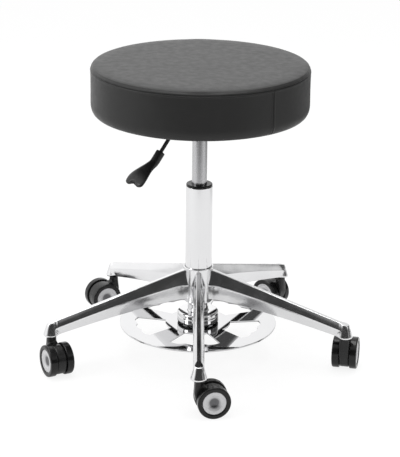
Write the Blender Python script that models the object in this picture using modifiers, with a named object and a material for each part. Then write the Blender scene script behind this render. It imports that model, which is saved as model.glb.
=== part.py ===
"""Rolling stool: a round padded seat on a gas column with a hand lever, a five-arm cast base on
twin-wheel casters, and a foot release plate that tips to every side.

Metres, +Z up. The origin is on the floor, on the axis of the column. The front is -Y.
"""

import math

import bmesh
import bpy

# Fits
CLEARANCE = 0.0003  # left between pieces that touch, slide or turn on each other

# Casters
WHEEL_RADIUS = 0.030
TYRE_WIDTH = 0.0135
TYRE_THICKNESS = 0.0084
TYRE_SHOULDER = 0.0045
CORE_RIM = 0.0065  # width of the flat ring round the core's face
CORE_DISH = 0.0034  # depth of the bowl in the core's face
HOOD_WIDTH = 0.0180
HOOD_RADIUS = 0.0275
HOOD_EDGE = 0.0020
WHEEL_GAP = 0.0007  # between a wheel and the hood
TRAIL = 0.0245  # caster stem to wheel axle
NECK_RADIUS = 0.0080
STEM_RISE = 0.0385  # axle to the top of the neck
STEM_RADIUS = 0.0055
STEM_IN_NECK = 0.0180
STEM_IN_SOCKET = 0.0205
AXLE_RADIUS = 0.0030
AXLE_IN_CORE = 0.0068

# Name, place round the base in arms from the front, and the way the trail points
CASTERS = (
    ("front", 0, math.radians(11.6)),
    ("right_front", 1, math.radians(78.3)),
    ("right_back", 2, math.radians(138.4)),
    ("left_back", 3, math.radians(208.2)),
    ("left_front", 4, math.radians(297.7)),
)

# Base casting
ARM_COUNT = 5
FRONT_ARM = math.radians(-89.4)
BASE_RADIUS = 0.2854  # column axis to caster axis
HUB_RISE = 0.0392  # caster sockets to the underside of the hub
HUB_HEIGHT = 0.0690
HUB_TOP_WALL = 0.0032
HUB_FOOT_WALL = 0.0045
HUB_EDGE = 0.0012
ARM_ROOT_DROP = 0.0055  # top of the hub down to the top of an arm
ARM_ROOT_LIFT = 0.0068  # underside of the hub up to the underside of an arm
ARM_ROOT_CREASE = 0.0335  # top of the hub down to the crease along an arm's side
ARM_TOP_WIDTH = 0.0080
ARM_CREASE_WIDTH = 0.0206
ARM_FOOT_WIDTH = 0.0160
ARM_CREASE_BOW = 1.25  # how late along the arm the crease drops, 1 is straight
ARM_FOOT_BOW = 1.35
ARM_WALL = 0.0030
ARM_CHANNEL = 0.0110  # depth of the hollow under an arm
ROOT_FLARE = 0.35  # share by which an arm widens into the hub
ROOT_FLARE_LENGTH = 0.016
TIP_HEIGHT = 0.0267
TIP_CREASE = 0.0145
SOCKET_TOP_RADIUS = 0.0078
SOCKET_RIM_RADIUS = 0.0158

# Column
TUBE_RADIUS = 0.0250
TUBE_WALL = 0.0015
TUBE_STANDOUT = 0.1570  # tube showing above the hub
TUBE_TAPER = 0.0030  # how much the tube's radius narrows inside the hub
TUBE_FLOOR = 0.0030
TUBE_RECESS = 0.0025  # tube's foot above the underside of the hub
COLLAR_HEIGHT = 0.0042
COLLAR_INSET = 0.0006
BUSH_LENGTH = 0.0600
CYLINDER_RADIUS = 0.0140
CYLINDER_WALL = 0.0015
CYLINDER_CAP = 0.0100
CYLINDER_HEAD = 0.0240
CONE_TAPER = 0.0010
CONE_RISE = 0.0070  # cone over the collar when the seat is at its lowest
LIFT_UP = 0.055
LIFT_DOWN = 0.075
LIFT_SPARE = 0.0050  # left at both ends of the lift
ROD_RADIUS = 0.0050
ROD_STEP = 0.0010
ROD_FOOT = 0.0120  # rod showing under the tube's floor
PISTON_HEIGHT = 0.0100
PISTON_SPARE = 0.0200
BEARING_RADIUS = 0.0130
BEARING_HEIGHT = 0.0060
CLIP_RADIUS = 0.0075
CLIP_THICKNESS = 0.0012
CLIP_DEPTH = 0.0008
CLIP_SLOT = 0.0050

# Foot release
TILT = math.radians(3)  # largest tilt of the plate about each of its two axes
HOUSING_NECK_RADIUS = 0.0190
HOUSING_NECK_LENGTH = 0.0200  # showing under the hub
HOUSING_BORE_RADIUS = 0.0100
HOUSING_RADIUS = 0.0385
HOUSING_HEIGHT = 0.0185
HOUSING_WALL = 0.0085
HOUSING_ROOF = 0.0040
HOUSING_GROOVE = 0.0010
BUFFER_WIDTH = 0.0065
BUFFER_THICKNESS = 0.0020
TILT_RING_HEIGHT = 0.0060
TILT_RING_WIDTH = 0.0080
TILT_RING_GAP = 0.0015
TILT_PIN_RADIUS = 0.0025
TILT_PIN_SEAT = 0.0045  # how far a tilt pin reaches into its hole
TILT_AXIS_DROP = 0.0115  # top of the housing disc down to the tilt axes
COLLAR_TOP_OVER_AXIS = 0.0050
PLATE_COLLAR_WALL = 0.0050
PLATE_RADIUS = 0.1476
PLATE_THICKNESS = 0.0030
PLATE_TURN = math.radians(-92.9)  # direction of the first cut-out
CUT_COUNT = 5
CUT_INNER_RADIUS = 0.0605
CUT_OUTER_RADIUS = 0.1150
CUT_INNER_HALF = math.radians(21.0)
CUT_OUTER_HALF = math.radians(24.5)
SCALLOPS = 3
SCALLOP_DEPTH = 0.0048
TAPPET_RADIUS = 0.0020
TAPPET_STROKE = 0.0040
TAPPET_IN_ROD = 0.0120

# Seat
SEAT_RADIUS = 0.200
SEAT_THICKNESS = 0.0910
SEAT_OVER_COLLAR = 0.1365  # underside of the seat above the column's collar
SEAT_CROWN = 0.0012
SEAT_FLAT_RADIUS = 0.0700
SEAT_EDGE = 0.0050
SEAT_FOOT_EDGE = 0.0130
SEAT_DRAW_IN = 0.0006
BOARD_MARGIN = 0.0160  # width of upholstery turned under round the board
BOARD_THICKNESS = 0.0120
BOARD_LIFT = 0.0010
SEAT_PLATE_WIDTH = 0.150
SEAT_PLATE_THICKNESS = 0.0030
SEAT_PLATE_CORNER = 0.018
SCREW_SPACING = 0.116
SCREW_RADIUS = 0.0027
SCREW_HEAD_RADIUS = 0.0055
SCREW_HEAD_HEIGHT = 0.0035
SCREW_IN_BOARD = 0.0095

# Hand lever
LEVER_TURN = math.radians(225)
BRACKET_LENGTH = 0.080
BRACKET_OFFSET = 0.006  # bracket's middle towards the lever
BRACKET_HEIGHT = 0.0270
BRACKET_INNER_WIDTH = 0.0200
BRACKET_WALL = 0.0030
SOCKET_WALL = 0.0045
LEVER_OVER_FLOOR = 0.0130  # bracket's floor to the rod's axis
LEVER_ROD_RADIUS = 0.0035
LEVER_EYE_RADIUS = 0.0055
LEVER_TAIL = 0.0050  # rod past the release pin
PIVOT_REACH = 0.0300  # column axis to the lever's pivot
PIVOT_RADIUS = 0.0020
BEND_REACH = 0.0580  # column axis to the bend in the rod
BEND_RADIUS = 0.0200
LEVER_DROP = math.radians(46)
HANDLE_START = 0.0595  # along the rod from its bend
HANDLE_GRIP = 0.0220
# Along the handle, half its width, half its thickness and degrees it lifts there against its socket
HANDLE_STATIONS = (
    (0.000, 0.0080, 0.0080, 0),
    (0.020, 0.0080, 0.0078, 0),
    (0.028, 0.0088, 0.0070, 26),
    (0.040, 0.0122, 0.0058, 25),
    (0.052, 0.0168, 0.0050, 20),
    (0.063, 0.0208, 0.0046, 12),
    (0.072, 0.0224, 0.0044, 4),
    (0.080, 0.0214, 0.0042, -2),
    (0.085, 0.0160, 0.0038, -4),
)
NOTCH_RADIUS = 0.0085
NOTCH_DEPTH = 0.0040
RELEASE_PIN_RADIUS = 0.0030
RELEASE_PIN_TIP = 0.0012  # radius of the pin's tip, under the rod

# Sides of round pieces
STEPS_SEAT = 48
STEPS_PLATE = 80
STEPS_COLUMN = 24
STEPS_HOUSING = 32
STEPS_ROD = 16
STEPS_TYRE = 20
STEPS_CORE = 16
STEPS_SMALL = 12

# Heights from the floor up
socket_bottom = WHEEL_RADIUS + STEM_RISE + CLEARANCE
hub_bottom = socket_bottom + HUB_RISE
hub_top = hub_bottom + HUB_HEIGHT
tube_bottom = hub_bottom + TUBE_RECESS
tube_top = hub_top + TUBE_STANDOUT
collar_top = tube_top + CLEARANCE + COLLAR_HEIGHT
bearing_bottom = tube_bottom + TUBE_FLOOR + CLEARANCE
bearing_top = bearing_bottom + BEARING_HEIGHT
seat_bottom = collar_top + SEAT_OVER_COLLAR
seat_top = seat_bottom + SEAT_THICKNESS
board_bottom = seat_bottom + BOARD_LIFT
board_top = board_bottom + BOARD_THICKNESS
seat_plate_top = board_bottom - CLEARANCE
seat_plate_bottom = seat_plate_top - SEAT_PLATE_THICKNESS
bracket_top = seat_plate_bottom - CLEARANCE
bracket_bottom = bracket_top - BRACKET_HEIGHT
lever_height = bracket_bottom + BRACKET_WALL + LEVER_OVER_FLOOR
cone_bottom = collar_top + LIFT_DOWN + LIFT_SPARE + CONE_RISE
cylinder_top = bracket_bottom + BRACKET_WALL
cylinder_bottom = bearing_top + LIFT_DOWN + LIFT_SPARE
cavity_bottom = cylinder_bottom + CYLINDER_CAP
cavity_top = cylinder_top - CYLINDER_HEAD
piston_bottom = cavity_bottom + LIFT_UP + PISTON_SPARE
piston_top = piston_bottom + PISTON_HEIGHT
rod_bottom = tube_bottom - ROD_FOOT
rod_bore_top = rod_bottom + TAPPET_IN_ROD + TAPPET_STROKE + ROD_FOOT
tappet_top = rod_bottom + TAPPET_IN_ROD
housing_top = hub_bottom - HOUSING_NECK_LENGTH
housing_bottom = housing_top - HOUSING_HEIGHT
housing_cavity_top = housing_top - HOUSING_ROOF
buffer_top = housing_bottom - CLEARANCE
buffer_bottom = buffer_top - BUFFER_THICKNESS
tilt_room = HOUSING_RADIUS * math.sin(math.sqrt(2) * TILT) + CLEARANCE
plate_top = buffer_bottom - tilt_room
plate_bottom = plate_top - PLATE_THICKNESS
tilt_height = housing_top - TILT_AXIS_DROP

# Radii that mating pieces share
hub_top_radius = TUBE_RADIUS + CLEARANCE + HUB_TOP_WALL
tube_foot_radius = TUBE_RADIUS - TUBE_TAPER
hub_foot_radius = tube_foot_radius + CLEARANCE + HUB_FOOT_WALL
rod_foot_radius = ROD_RADIUS - ROD_STEP
cone_top_radius = CYLINDER_RADIUS - CONE_TAPER
core_radius = WHEEL_RADIUS - TYRE_THICKNESS - CLEARANCE
tappet_bore = TAPPET_RADIUS + CLEARANCE
wheel_offset = HOOD_WIDTH / 2 + WHEEL_GAP
housing_cavity_radius = HOUSING_RADIUS - HOUSING_WALL
tilt_ring_outer = housing_cavity_radius - TILT_RING_GAP
tilt_ring_inner = tilt_ring_outer - TILT_RING_WIDTH
plate_collar_outer = tilt_ring_inner - TILT_RING_GAP
plate_collar_inner = plate_collar_outer - PLATE_COLLAR_WALL

for old in list(bpy.data.objects):
    bpy.data.objects.remove(old)
parts = bpy.data.collections.new("rolling_stool")
cutters = bpy.data.collections.new("cutters")
for collection in (parts, cutters):
    bpy.context.scene.collection.children.link(collection)


def finish(name, colour, roughness, metallic=0.0):
    """A plain surface: its colour, roughness and whether it is metal."""
    material = bpy.data.materials.new(name)
    material.use_nodes = True
    shader = material.node_tree.nodes["Principled BSDF"]
    shader.inputs["Base Color"].default_value = (*colour, 1)
    shader.inputs["Roughness"].default_value = roughness
    shader.inputs["Metallic"].default_value = metallic
    material.diffuse_color = (*colour, 1)
    return material


leatherette = finish("leatherette", (0.060, 0.060, 0.062), 0.5)
plywood = finish("plywood", (0.50, 0.36, 0.21), 0.7)
black_steel = finish("black_steel", (0.015, 0.015, 0.016), 0.45, 0.6)
black_plastic = finish("black_plastic", (0.012, 0.012, 0.013), 0.35)
grey_steel = finish("grey_steel", (0.42, 0.42, 0.44), 0.38, 0.9)
bright_steel = finish("bright_steel", (0.60, 0.60, 0.61), 0.25, 1.0)
chrome = finish("chrome", (0.83, 0.83, 0.84), 0.06, 1.0)
polished_aluminium = finish("polished_aluminium", (0.80, 0.80, 0.81), 0.12, 1.0)
rubber = finish("rubber", (0.010, 0.010, 0.010), 0.6)
tread = finish("tread", (0.011, 0.011, 0.012), 0.4)
silver_plastic = finish("silver_plastic", (0.52, 0.53, 0.55), 0.35, 0.3)


def place(name, data, material, parent=None, location=(0, 0, 0), turn=(0, 0, 0)):
    """An object of the stool, set in its parent's frame."""
    obj = bpy.data.objects.new(name, data)
    parts.objects.link(obj)
    obj.parent = parent
    obj.location = location
    obj.rotation_euler = turn
    data.materials.append(material)
    return obj


def pivot(name, location, turn=(0, 0, 0), parent=None):
    """An empty on a joint's axis, which carries what moves there."""
    empty = bpy.data.objects.new(name, None)
    parts.objects.link(empty)
    empty.parent = parent
    empty.location = location
    empty.rotation_euler = turn
    return empty


def helper(obj):
    """Turns an object into a cutter or a shape to be joined: drawn as wire and not rendered."""
    parts.objects.unlink(obj)
    cutters.objects.link(obj)
    obj.hide_render = True
    obj.display_type = "WIRE"
    return obj


def turned(name, outline, steps, material, on_axis=False, **where):
    """A turned piece. The outline gives (radius, height) from the top, down the outside and back up
    the inside, and it starts and ends on the axis where on_axis is true."""
    count = len(outline)
    edges = [(i, i + 1) for i in range(count - 1)]
    if not on_axis:
        edges.append((count - 1, 0))
    data = bpy.data.meshes.new(name)
    data.from_pydata([(radius, 0, height) for radius, height in outline], edges, [])
    obj = place(name, data, material, **where)
    screw = obj.modifiers.new("turn", "SCREW")
    screw.steps = screw.render_steps = steps
    screw.use_merge_vertices = True
    screw.merge_threshold = 0.00001
    return obj


def cylinder(name, radius, bottom, top, material, steps=STEPS_SMALL, **where):
    """A plain round bar along its own Z."""
    outline = ((0, top), (radius, top), (radius, bottom), (0, bottom))
    return turned(name, outline, steps, material, True, **where)


def combine(target, other, operation):
    """Cuts a helper out of a piece, or joins it on."""
    step = target.modifiers.new(other.name, "BOOLEAN")
    step.operation = operation
    step.object = helper(other)


def evaluated_mesh(obj):
    """The finished mesh of an object with its modifiers or its curve's bevel, welded along its caps."""
    bpy.context.view_layer.update()
    graph = bpy.context.evaluated_depsgraph_get()
    data = bpy.data.meshes.new_from_object(obj.evaluated_get(graph))
    shape = bmesh.new()
    shape.from_mesh(data)
    bmesh.ops.remove_doubles(shape, verts=shape.verts, dist=0.000001)
    shape.to_mesh(data)
    shape.free()
    data.materials.clear()
    return data


def curve_mesh(curve):
    """The mesh of a curve, which is removed."""
    guide = bpy.data.objects.new(curve.name, curve)
    cutters.objects.link(guide)
    data = evaluated_mesh(guide)
    bpy.data.objects.remove(guide)
    bpy.data.curves.remove(curve)
    return data


def poly_spline(curve, points, cyclic):
    spline = curve.splines.new("POLY")
    spline.points.add(len(points) - 1)
    for spot, point in zip(spline.points, points):
        spot.co = (*point, 1)
    spline.use_cyclic_u = cyclic


def flat(name, outlines, thickness):
    """A plate half above and half below z = 0. The first outline is its rim and the rest are holes."""
    curve = bpy.data.curves.new(name, "CURVE")
    curve.dimensions = "2D"
    curve.fill_mode = "BOTH"
    curve.extrude = thickness / 2
    for outline in outlines:
        poly_spline(curve, [(x, y, 0) for x, y in outline], True)
    return curve_mesh(curve)


def bar(name, points, radius):
    """A round bar along a path."""
    curve = bpy.data.curves.new(name, "CURVE")
    curve.dimensions = "3D"
    curve.bevel_depth = radius
    curve.bevel_resolution = 2
    curve.use_fill_caps = True
    poly_spline(curve, points, False)
    return curve_mesh(curve)


def loft(name, rings):
    """A closed skin through rings of equal counts of points, capped at both ends."""
    shape = bmesh.new()
    loops = [[shape.verts.new(point) for point in ring] for ring in rings]
    for near, far in zip(loops, loops[1:]):
        for i, start in enumerate(near):
            j = (i + 1) % len(near)
            shape.faces.new((start, near[j], far[j], far[i]))
    shape.faces.new(loops[0])
    shape.faces.new(loops[-1])
    bmesh.ops.recalc_face_normals(shape, faces=shape.faces)
    data = bpy.data.meshes.new(name)
    shape.to_mesh(data)
    shape.free()
    return data


def arc(centre, radius, start, end, count):
    """Points on an arc, both ends included, with angles in radians."""
    angles = [start + (end - start) * i / count for i in range(count + 1)]
    return [(centre[0] + radius * math.cos(a), centre[1] + radius * math.sin(a)) for a in angles]


def circle(centre, radius, count):
    return arc(centre, radius, 0, 2 * math.pi, count)[:-1]


def rounded_square(width, corner, count=4):
    """Outline of a square about the origin with round corners."""
    inner = width / 2 - corner
    points = []
    for quarter in range(4):
        start = quarter * math.pi / 2
        middle = (inner * math.sqrt(2) * math.cos(start + math.pi / 4),
                  inner * math.sqrt(2) * math.sin(start + math.pi / 4))
        points += arc(middle, corner, start, start + math.pi / 2, count)
    return points


QUARTER = math.pi / 2
ALONG_Y = (-QUARTER, 0, 0)
AGAINST_Y = (QUARTER, 0, 0)
ALONG_X = (0, QUARTER, 0)


def make_seat():
    """Upholstered seat: a crowned round cushion with drawn-in sides, its board, plate and screws."""
    top_roll = (SEAT_RADIUS - SEAT_EDGE, seat_top - SEAT_CROWN - SEAT_EDGE)
    foot_roll = (SEAT_RADIUS - SEAT_FOOT_EDGE, seat_bottom + SEAT_FOOT_EDGE)
    board_radius = SEAT_RADIUS - BOARD_MARGIN
    outline = [(0, seat_top), (SEAT_FLAT_RADIUS, seat_top)]
    for share in (0.35, 0.65):
        radius = SEAT_FLAT_RADIUS + share * (top_roll[0] - SEAT_FLAT_RADIUS)
        outline.append((radius, seat_top - SEAT_CROWN * share**2))
    outline += arc(top_roll, SEAT_EDGE, QUARTER, 0, 4)
    for share in (0.2, 0.5, 0.8):
        height = top_roll[1] + share * (foot_roll[1] - top_roll[1])
        outline.append((SEAT_RADIUS - SEAT_DRAW_IN * 4 * share * (1 - share), height))
    outline += arc(foot_roll, SEAT_FOOT_EDGE, 0, -QUARTER, 4)
    recess_radius = board_radius + CLEARANCE
    outline += [(recess_radius, seat_bottom), (recess_radius, board_top + CLEARANCE)]
    outline.append((0, board_top + CLEARANCE))
    turned("seat_cushion", outline, STEPS_SEAT, leatherette, True)

    board = cylinder("seat_board", board_radius, board_bottom, board_top, plywood, STEPS_SEAT)
    holes = []
    for i in range(4):
        across = SCREW_SPACING / 2 * (1 if i in (0, 3) else -1)
        along = SCREW_SPACING / 2 * (1 if i in (0, 1) else -1)
        screw_top = board_bottom + SCREW_IN_BOARD
        head_top = seat_plate_bottom - CLEARANCE
        head_bottom = head_top - SCREW_HEAD_HEIGHT
        screw = (
            (0, screw_top),
            (SCREW_RADIUS, screw_top - SCREW_RADIUS),
            (SCREW_RADIUS, head_top),
            (SCREW_HEAD_RADIUS, head_top),
            (SCREW_HEAD_RADIUS * 0.8, head_bottom),
            (0, head_bottom),
        )
        turned(f"seat_screw_{i + 1}", screw, STEPS_SMALL, bright_steel, True, location=(across, along, 0))
        hole = cylinder(f"board_hole_{i + 1}", SCREW_RADIUS + CLEARANCE, board_bottom - BOARD_THICKNESS,
                        screw_top + CLEARANCE, plywood, location=(across, along, 0))
        combine(board, hole, "DIFFERENCE")
        holes.append(circle((across, along), SCREW_RADIUS + CLEARANCE, STEPS_SMALL))
    plate = flat("seat_plate", [rounded_square(SEAT_PLATE_WIDTH, SEAT_PLATE_CORNER), *holes],
                 SEAT_PLATE_THICKNESS)
    middle = (seat_plate_top + seat_plate_bottom) / 2
    place("seat_plate", plate, black_steel, location=(0, 0, middle))


def make_bracket(frame):
    """Folded steel channel under the seat plate, with the cone socket that grips the gas cylinder."""
    half_length = BRACKET_LENGTH / 2
    half_inner = BRACKET_INNER_WIDTH / 2
    half_outer = half_inner + BRACKET_WALL
    floor_top = bracket_bottom + BRACKET_WALL
    section = (
        (half_outer, bracket_top),
        (half_outer, bracket_bottom),
        (-half_outer, bracket_bottom),
        (-half_outer, bracket_top),
        (-half_inner, bracket_top),
        (-half_inner, floor_top),
        (half_inner, floor_top),
        (half_inner, bracket_top),
    )
    ends = (BRACKET_OFFSET - half_length, BRACKET_OFFSET + half_length)
    rings = [[(x, y, z - lever_height) for y, z in section] for x in ends]
    bracket = place("lever_bracket", loft("lever_bracket", rings), black_steel, frame)
    socket_radius = CYLINDER_RADIUS + CLEARANCE + SOCKET_WALL
    join_height = bracket_bottom + BRACKET_WALL / 2 - lever_height
    sleeve = cylinder("cone_sleeve", socket_radius, cone_bottom - lever_height, join_height, black_steel,
                      STEPS_COLUMN, parent=frame)
    combine(bracket, sleeve, "UNION")
    slope = CONE_TAPER / (cylinder_top - cone_bottom)
    outline = [(0, cylinder_top + BRACKET_WALL)]
    for height in (cylinder_top + BRACKET_WALL, cone_bottom - BRACKET_WALL):
        outline.append((cone_top_radius + CLEARANCE + slope * (cylinder_top - height), height))
    outline.append((0, cone_bottom - BRACKET_WALL))
    outline = [(radius, height - lever_height) for radius, height in outline]
    bore = turned("cone_bore", outline, STEPS_COLUMN, black_steel, True, parent=frame)
    combine(bracket, bore, "DIFFERENCE")
    drill = cylinder("pivot_drill", PIVOT_RADIUS + CLEARANCE, -2 * half_outer, 2 * half_outer, black_steel,
                     parent=frame, location=(PIVOT_REACH, 0, 0), turn=ALONG_Y)
    combine(bracket, drill, "DIFFERENCE")
    cylinder("lever_pivot_pin", PIVOT_RADIUS, -half_outer - CLEARANCE, half_outer + CLEARANCE, bright_steel,
             parent=frame, location=(PIVOT_REACH, 0, 0), turn=ALONG_Y)


def handle_rings():
    """Oval sections along the handle, which bends up from its socket into a paddle that droops at its end."""
    rings = []
    along, up, before, turn = 0.0, 0.0, 0.0, 0.0
    for station, half_width, half_height, lift in HANDLE_STATIONS:
        between = (turn + math.radians(lift)) / 2
        along += (station - before) * math.cos(between)
        up += (station - before) * math.sin(between)
        before, turn = station, math.radians(lift)
        ring = []
        for i in range(STEPS_SMALL):
            angle = 2 * math.pi * i / STEPS_SMALL
            rise = half_height * math.sin(angle)
            side = half_width * math.cos(angle)
            ring.append((along - rise * math.sin(turn), side, up + rise * math.cos(turn)))
        rings.append(ring)
    return rings, (along, 0, up), turn


def make_lever():
    """Bent hand lever with a fishtail handle, pivoting in its bracket over the release pin."""
    frame = pivot("lever_frame", (0, 0, lever_height), (0, 0, LEVER_TURN))
    make_bracket(frame)
    hinge = pivot("lever_hinge", (PIVOT_REACH, 0, 0), parent=frame)

    corner = BEND_REACH - PIVOT_REACH
    tangent = BEND_RADIUS * math.tan(LEVER_DROP / 2)
    rod_end = HANDLE_START + HANDLE_GRIP
    path = [(-PIVOT_REACH - LEVER_TAIL, 0)]
    path += arc((corner - tangent, -BEND_RADIUS), BEND_RADIUS, QUARTER, QUARTER - LEVER_DROP, 5)
    path.append((corner + rod_end * math.cos(LEVER_DROP), -rod_end * math.sin(LEVER_DROP)))
    rod_data = bar("lever_rod", [(x, 0, z) for x, z in path], LEVER_ROD_RADIUS)
    rod = place("lever_rod", rod_data, black_steel, hinge)
    half_eye = BRACKET_INNER_WIDTH / 2 - CLEARANCE
    eye = cylinder("lever_eye", LEVER_EYE_RADIUS, -half_eye, half_eye, black_steel, parent=hinge,
                   turn=ALONG_Y)
    combine(rod, eye, "UNION")
    drill = cylinder("eye_drill", PIVOT_RADIUS + CLEARANCE, -2 * half_eye, 2 * half_eye, black_steel,
                     parent=hinge, turn=ALONG_Y)
    combine(rod, drill, "DIFFERENCE")

    start = (corner + HANDLE_START * math.cos(LEVER_DROP), 0, -HANDLE_START * math.sin(LEVER_DROP))
    socket = pivot("handle_frame", start, (0, LEVER_DROP, 0), hinge)
    rings, end, end_lift = handle_rings()
    handle = place("lever_handle", loft("lever_handle", rings), black_plastic, socket)
    handle_bore = cylinder("handle_bore", LEVER_ROD_RADIUS + CLEARANCE, -HANDLE_GRIP, HANDLE_GRIP + CLEARANCE,
                           black_plastic, parent=socket, turn=ALONG_X)
    combine(handle, handle_bore, "DIFFERENCE")
    reach = NOTCH_RADIUS - NOTCH_DEPTH
    notch_spot = (end[0] + reach * math.cos(end_lift), 0, end[2] + reach * math.sin(end_lift))
    notch = cylinder("handle_notch", NOTCH_RADIUS, -HANDLE_GRIP, HANDLE_GRIP, black_plastic, STEPS_ROD,
                     parent=socket, location=notch_spot, turn=(0, -end_lift, 0))
    combine(handle, notch, "DIFFERENCE")

    pin_top = lever_height - LEVER_ROD_RADIUS - CLEARANCE
    pin_shoulder = pin_top - RELEASE_PIN_RADIUS + RELEASE_PIN_TIP
    outline = (
        (0, pin_top),
        (RELEASE_PIN_TIP, pin_top),
        (RELEASE_PIN_RADIUS, pin_shoulder),
        (RELEASE_PIN_RADIUS, cavity_top),
        (0, cavity_top),
    )
    turned("release_pin", outline, STEPS_SMALL, bright_steel, True)


def make_column():
    """Gas column: tube and guide bush on the base, piston rod on its thrust bearing, and the cylinder."""
    bore = RELEASE_PIN_RADIUS + CLEARANCE
    rod_hole = ROD_RADIUS + CLEARANCE
    cavity_radius = CYLINDER_RADIUS - CYLINDER_WALL
    outline = (
        (bore, cylinder_top),
        (cone_top_radius, cylinder_top),
        (CYLINDER_RADIUS, cone_bottom),
        (CYLINDER_RADIUS, cylinder_bottom + CYLINDER_WALL),
        (cavity_radius, cylinder_bottom),
        (rod_hole, cylinder_bottom),
        (rod_hole, cavity_bottom),
        (cavity_radius, cavity_bottom),
        (cavity_radius, cavity_top),
        (bore, cavity_top),
    )
    turned("gas_cylinder", outline, STEPS_COLUMN, grey_steel)

    piston_radius = cavity_radius - CLEARANCE
    groove_top = tube_bottom - CLEARANCE
    groove_bottom = groove_top - CLIP_THICKNESS - 2 * CLEARANCE
    groove_radius = rod_foot_radius - CLIP_DEPTH
    shoulder = bearing_top + CLEARANCE
    outline = (
        (0, piston_top),
        (piston_radius, piston_top),
        (piston_radius, piston_bottom),
        (ROD_RADIUS, piston_bottom),
        (ROD_RADIUS, shoulder),
        (rod_foot_radius, shoulder),
        (rod_foot_radius, groove_top),
        (groove_radius, groove_top),
        (groove_radius, groove_bottom),
        (rod_foot_radius, groove_bottom),
        (rod_foot_radius, rod_bottom),
        (tappet_bore, rod_bottom),
        (tappet_bore, rod_bore_top),
        (0, rod_bore_top),
    )
    turned("piston_rod", outline, STEPS_ROD, chrome, True)

    clip_top = groove_top - CLEARANCE
    clip_inner = groove_radius + CLEARANCE
    clip_bottom = clip_top - CLIP_THICKNESS
    ring = (
        (clip_inner, clip_top),
        (CLIP_RADIUS, clip_top),
        (CLIP_RADIUS, clip_bottom),
        (clip_inner, clip_bottom),
    )
    clip = turned("rod_clip", ring, STEPS_ROD, bright_steel)
    bpy.ops.mesh.primitive_cube_add(size=1, location=(CLIP_RADIUS, 0, clip_top))
    slot = bpy.context.object
    slot.name = "clip_slot"
    for owner in slot.users_collection:
        owner.objects.unlink(slot)
    parts.objects.link(slot)
    slot.scale = (2 * CLIP_RADIUS, CLIP_SLOT, 4 * CLIP_THICKNESS)
    combine(clip, slot, "DIFFERENCE")

    waist = BEARING_RADIUS * 0.92
    washer = BEARING_HEIGHT * 0.3
    bearing_bore = rod_foot_radius + CLEARANCE
    outline = (
        (bearing_bore, bearing_top),
        (BEARING_RADIUS, bearing_top),
        (BEARING_RADIUS, bearing_top - washer),
        (waist, bearing_top - washer),
        (waist, bearing_bottom + washer),
        (BEARING_RADIUS, bearing_bottom + washer),
        (BEARING_RADIUS, bearing_bottom),
        (bearing_bore, bearing_bottom),
    )
    turned("thrust_bearing", outline, STEPS_ROD, bright_steel)

    inner = TUBE_RADIUS - TUBE_WALL
    inner_foot = tube_foot_radius - TUBE_WALL
    outline = (
        (inner, tube_top),
        (TUBE_RADIUS, tube_top),
        (TUBE_RADIUS, hub_top),
        (tube_foot_radius, tube_bottom),
        (bearing_bore, tube_bottom),
        (bearing_bore, tube_bottom + TUBE_FLOOR),
        (inner_foot, tube_bottom + TUBE_FLOOR),
        (inner, hub_top),
    )
    turned("column_tube", outline, STEPS_COLUMN, chrome)

    guide = CYLINDER_RADIUS + CLEARANCE
    body = inner - CLEARANCE
    collar = TUBE_RADIUS - COLLAR_INSET
    outline = (
        (guide, collar_top - COLLAR_HEIGHT / 4),
        (guide + COLLAR_HEIGHT / 4, collar_top),
        (collar - COLLAR_HEIGHT / 2, collar_top),
        (collar, collar_top - COLLAR_HEIGHT / 2),
        (collar, tube_top + CLEARANCE),
        (body, tube_top + CLEARANCE),
        (body, tube_top - BUSH_LENGTH),
        (guide, tube_top - BUSH_LENGTH),
    )
    turned("guide_bush", outline, STEPS_COLUMN, black_plastic)


def arm_section(radius, spare):
    """Ring of points across an arm: narrow top, crease half-way down the side, hollow underside."""
    share = max(0.0, (radius - hub_top_radius) / (BASE_RADIUS - hub_top_radius))
    near = max(0.0, 1 - (radius - hub_top_radius) / ROOT_FLARE_LENGTH)
    flare = 1 + ROOT_FLARE * min(near, 1.0) ** 2
    root_top, tip_top = hub_top - ARM_ROOT_DROP, socket_bottom + TIP_HEIGHT
    root_crease, tip_crease = hub_top - ARM_ROOT_CREASE, socket_bottom + TIP_CREASE
    root_foot = hub_bottom + ARM_ROOT_LIFT
    top = root_top + (tip_top - root_top) * share + spare
    crease = root_crease + (tip_crease - root_crease) * share**ARM_CREASE_BOW
    foot = root_foot + (socket_bottom - root_foot) * share**ARM_FOOT_BOW
    half_top = flare * ARM_TOP_WIDTH / 2
    half_crease = flare * ARM_CREASE_WIDTH / 2
    half_foot = flare * ARM_FOOT_WIDTH / 2
    half_channel = half_foot - ARM_WALL
    channel_top = foot + ARM_CHANNEL
    right = [
        (half_top, top),
        (half_crease, crease),
        (half_foot, foot),
        (half_channel, foot),
        (half_channel - ARM_WALL / 2, channel_top),
    ]
    left = [(-y, z) for y, z in reversed(right)]
    return [(radius, y, z) for y, z in right + left]


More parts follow.
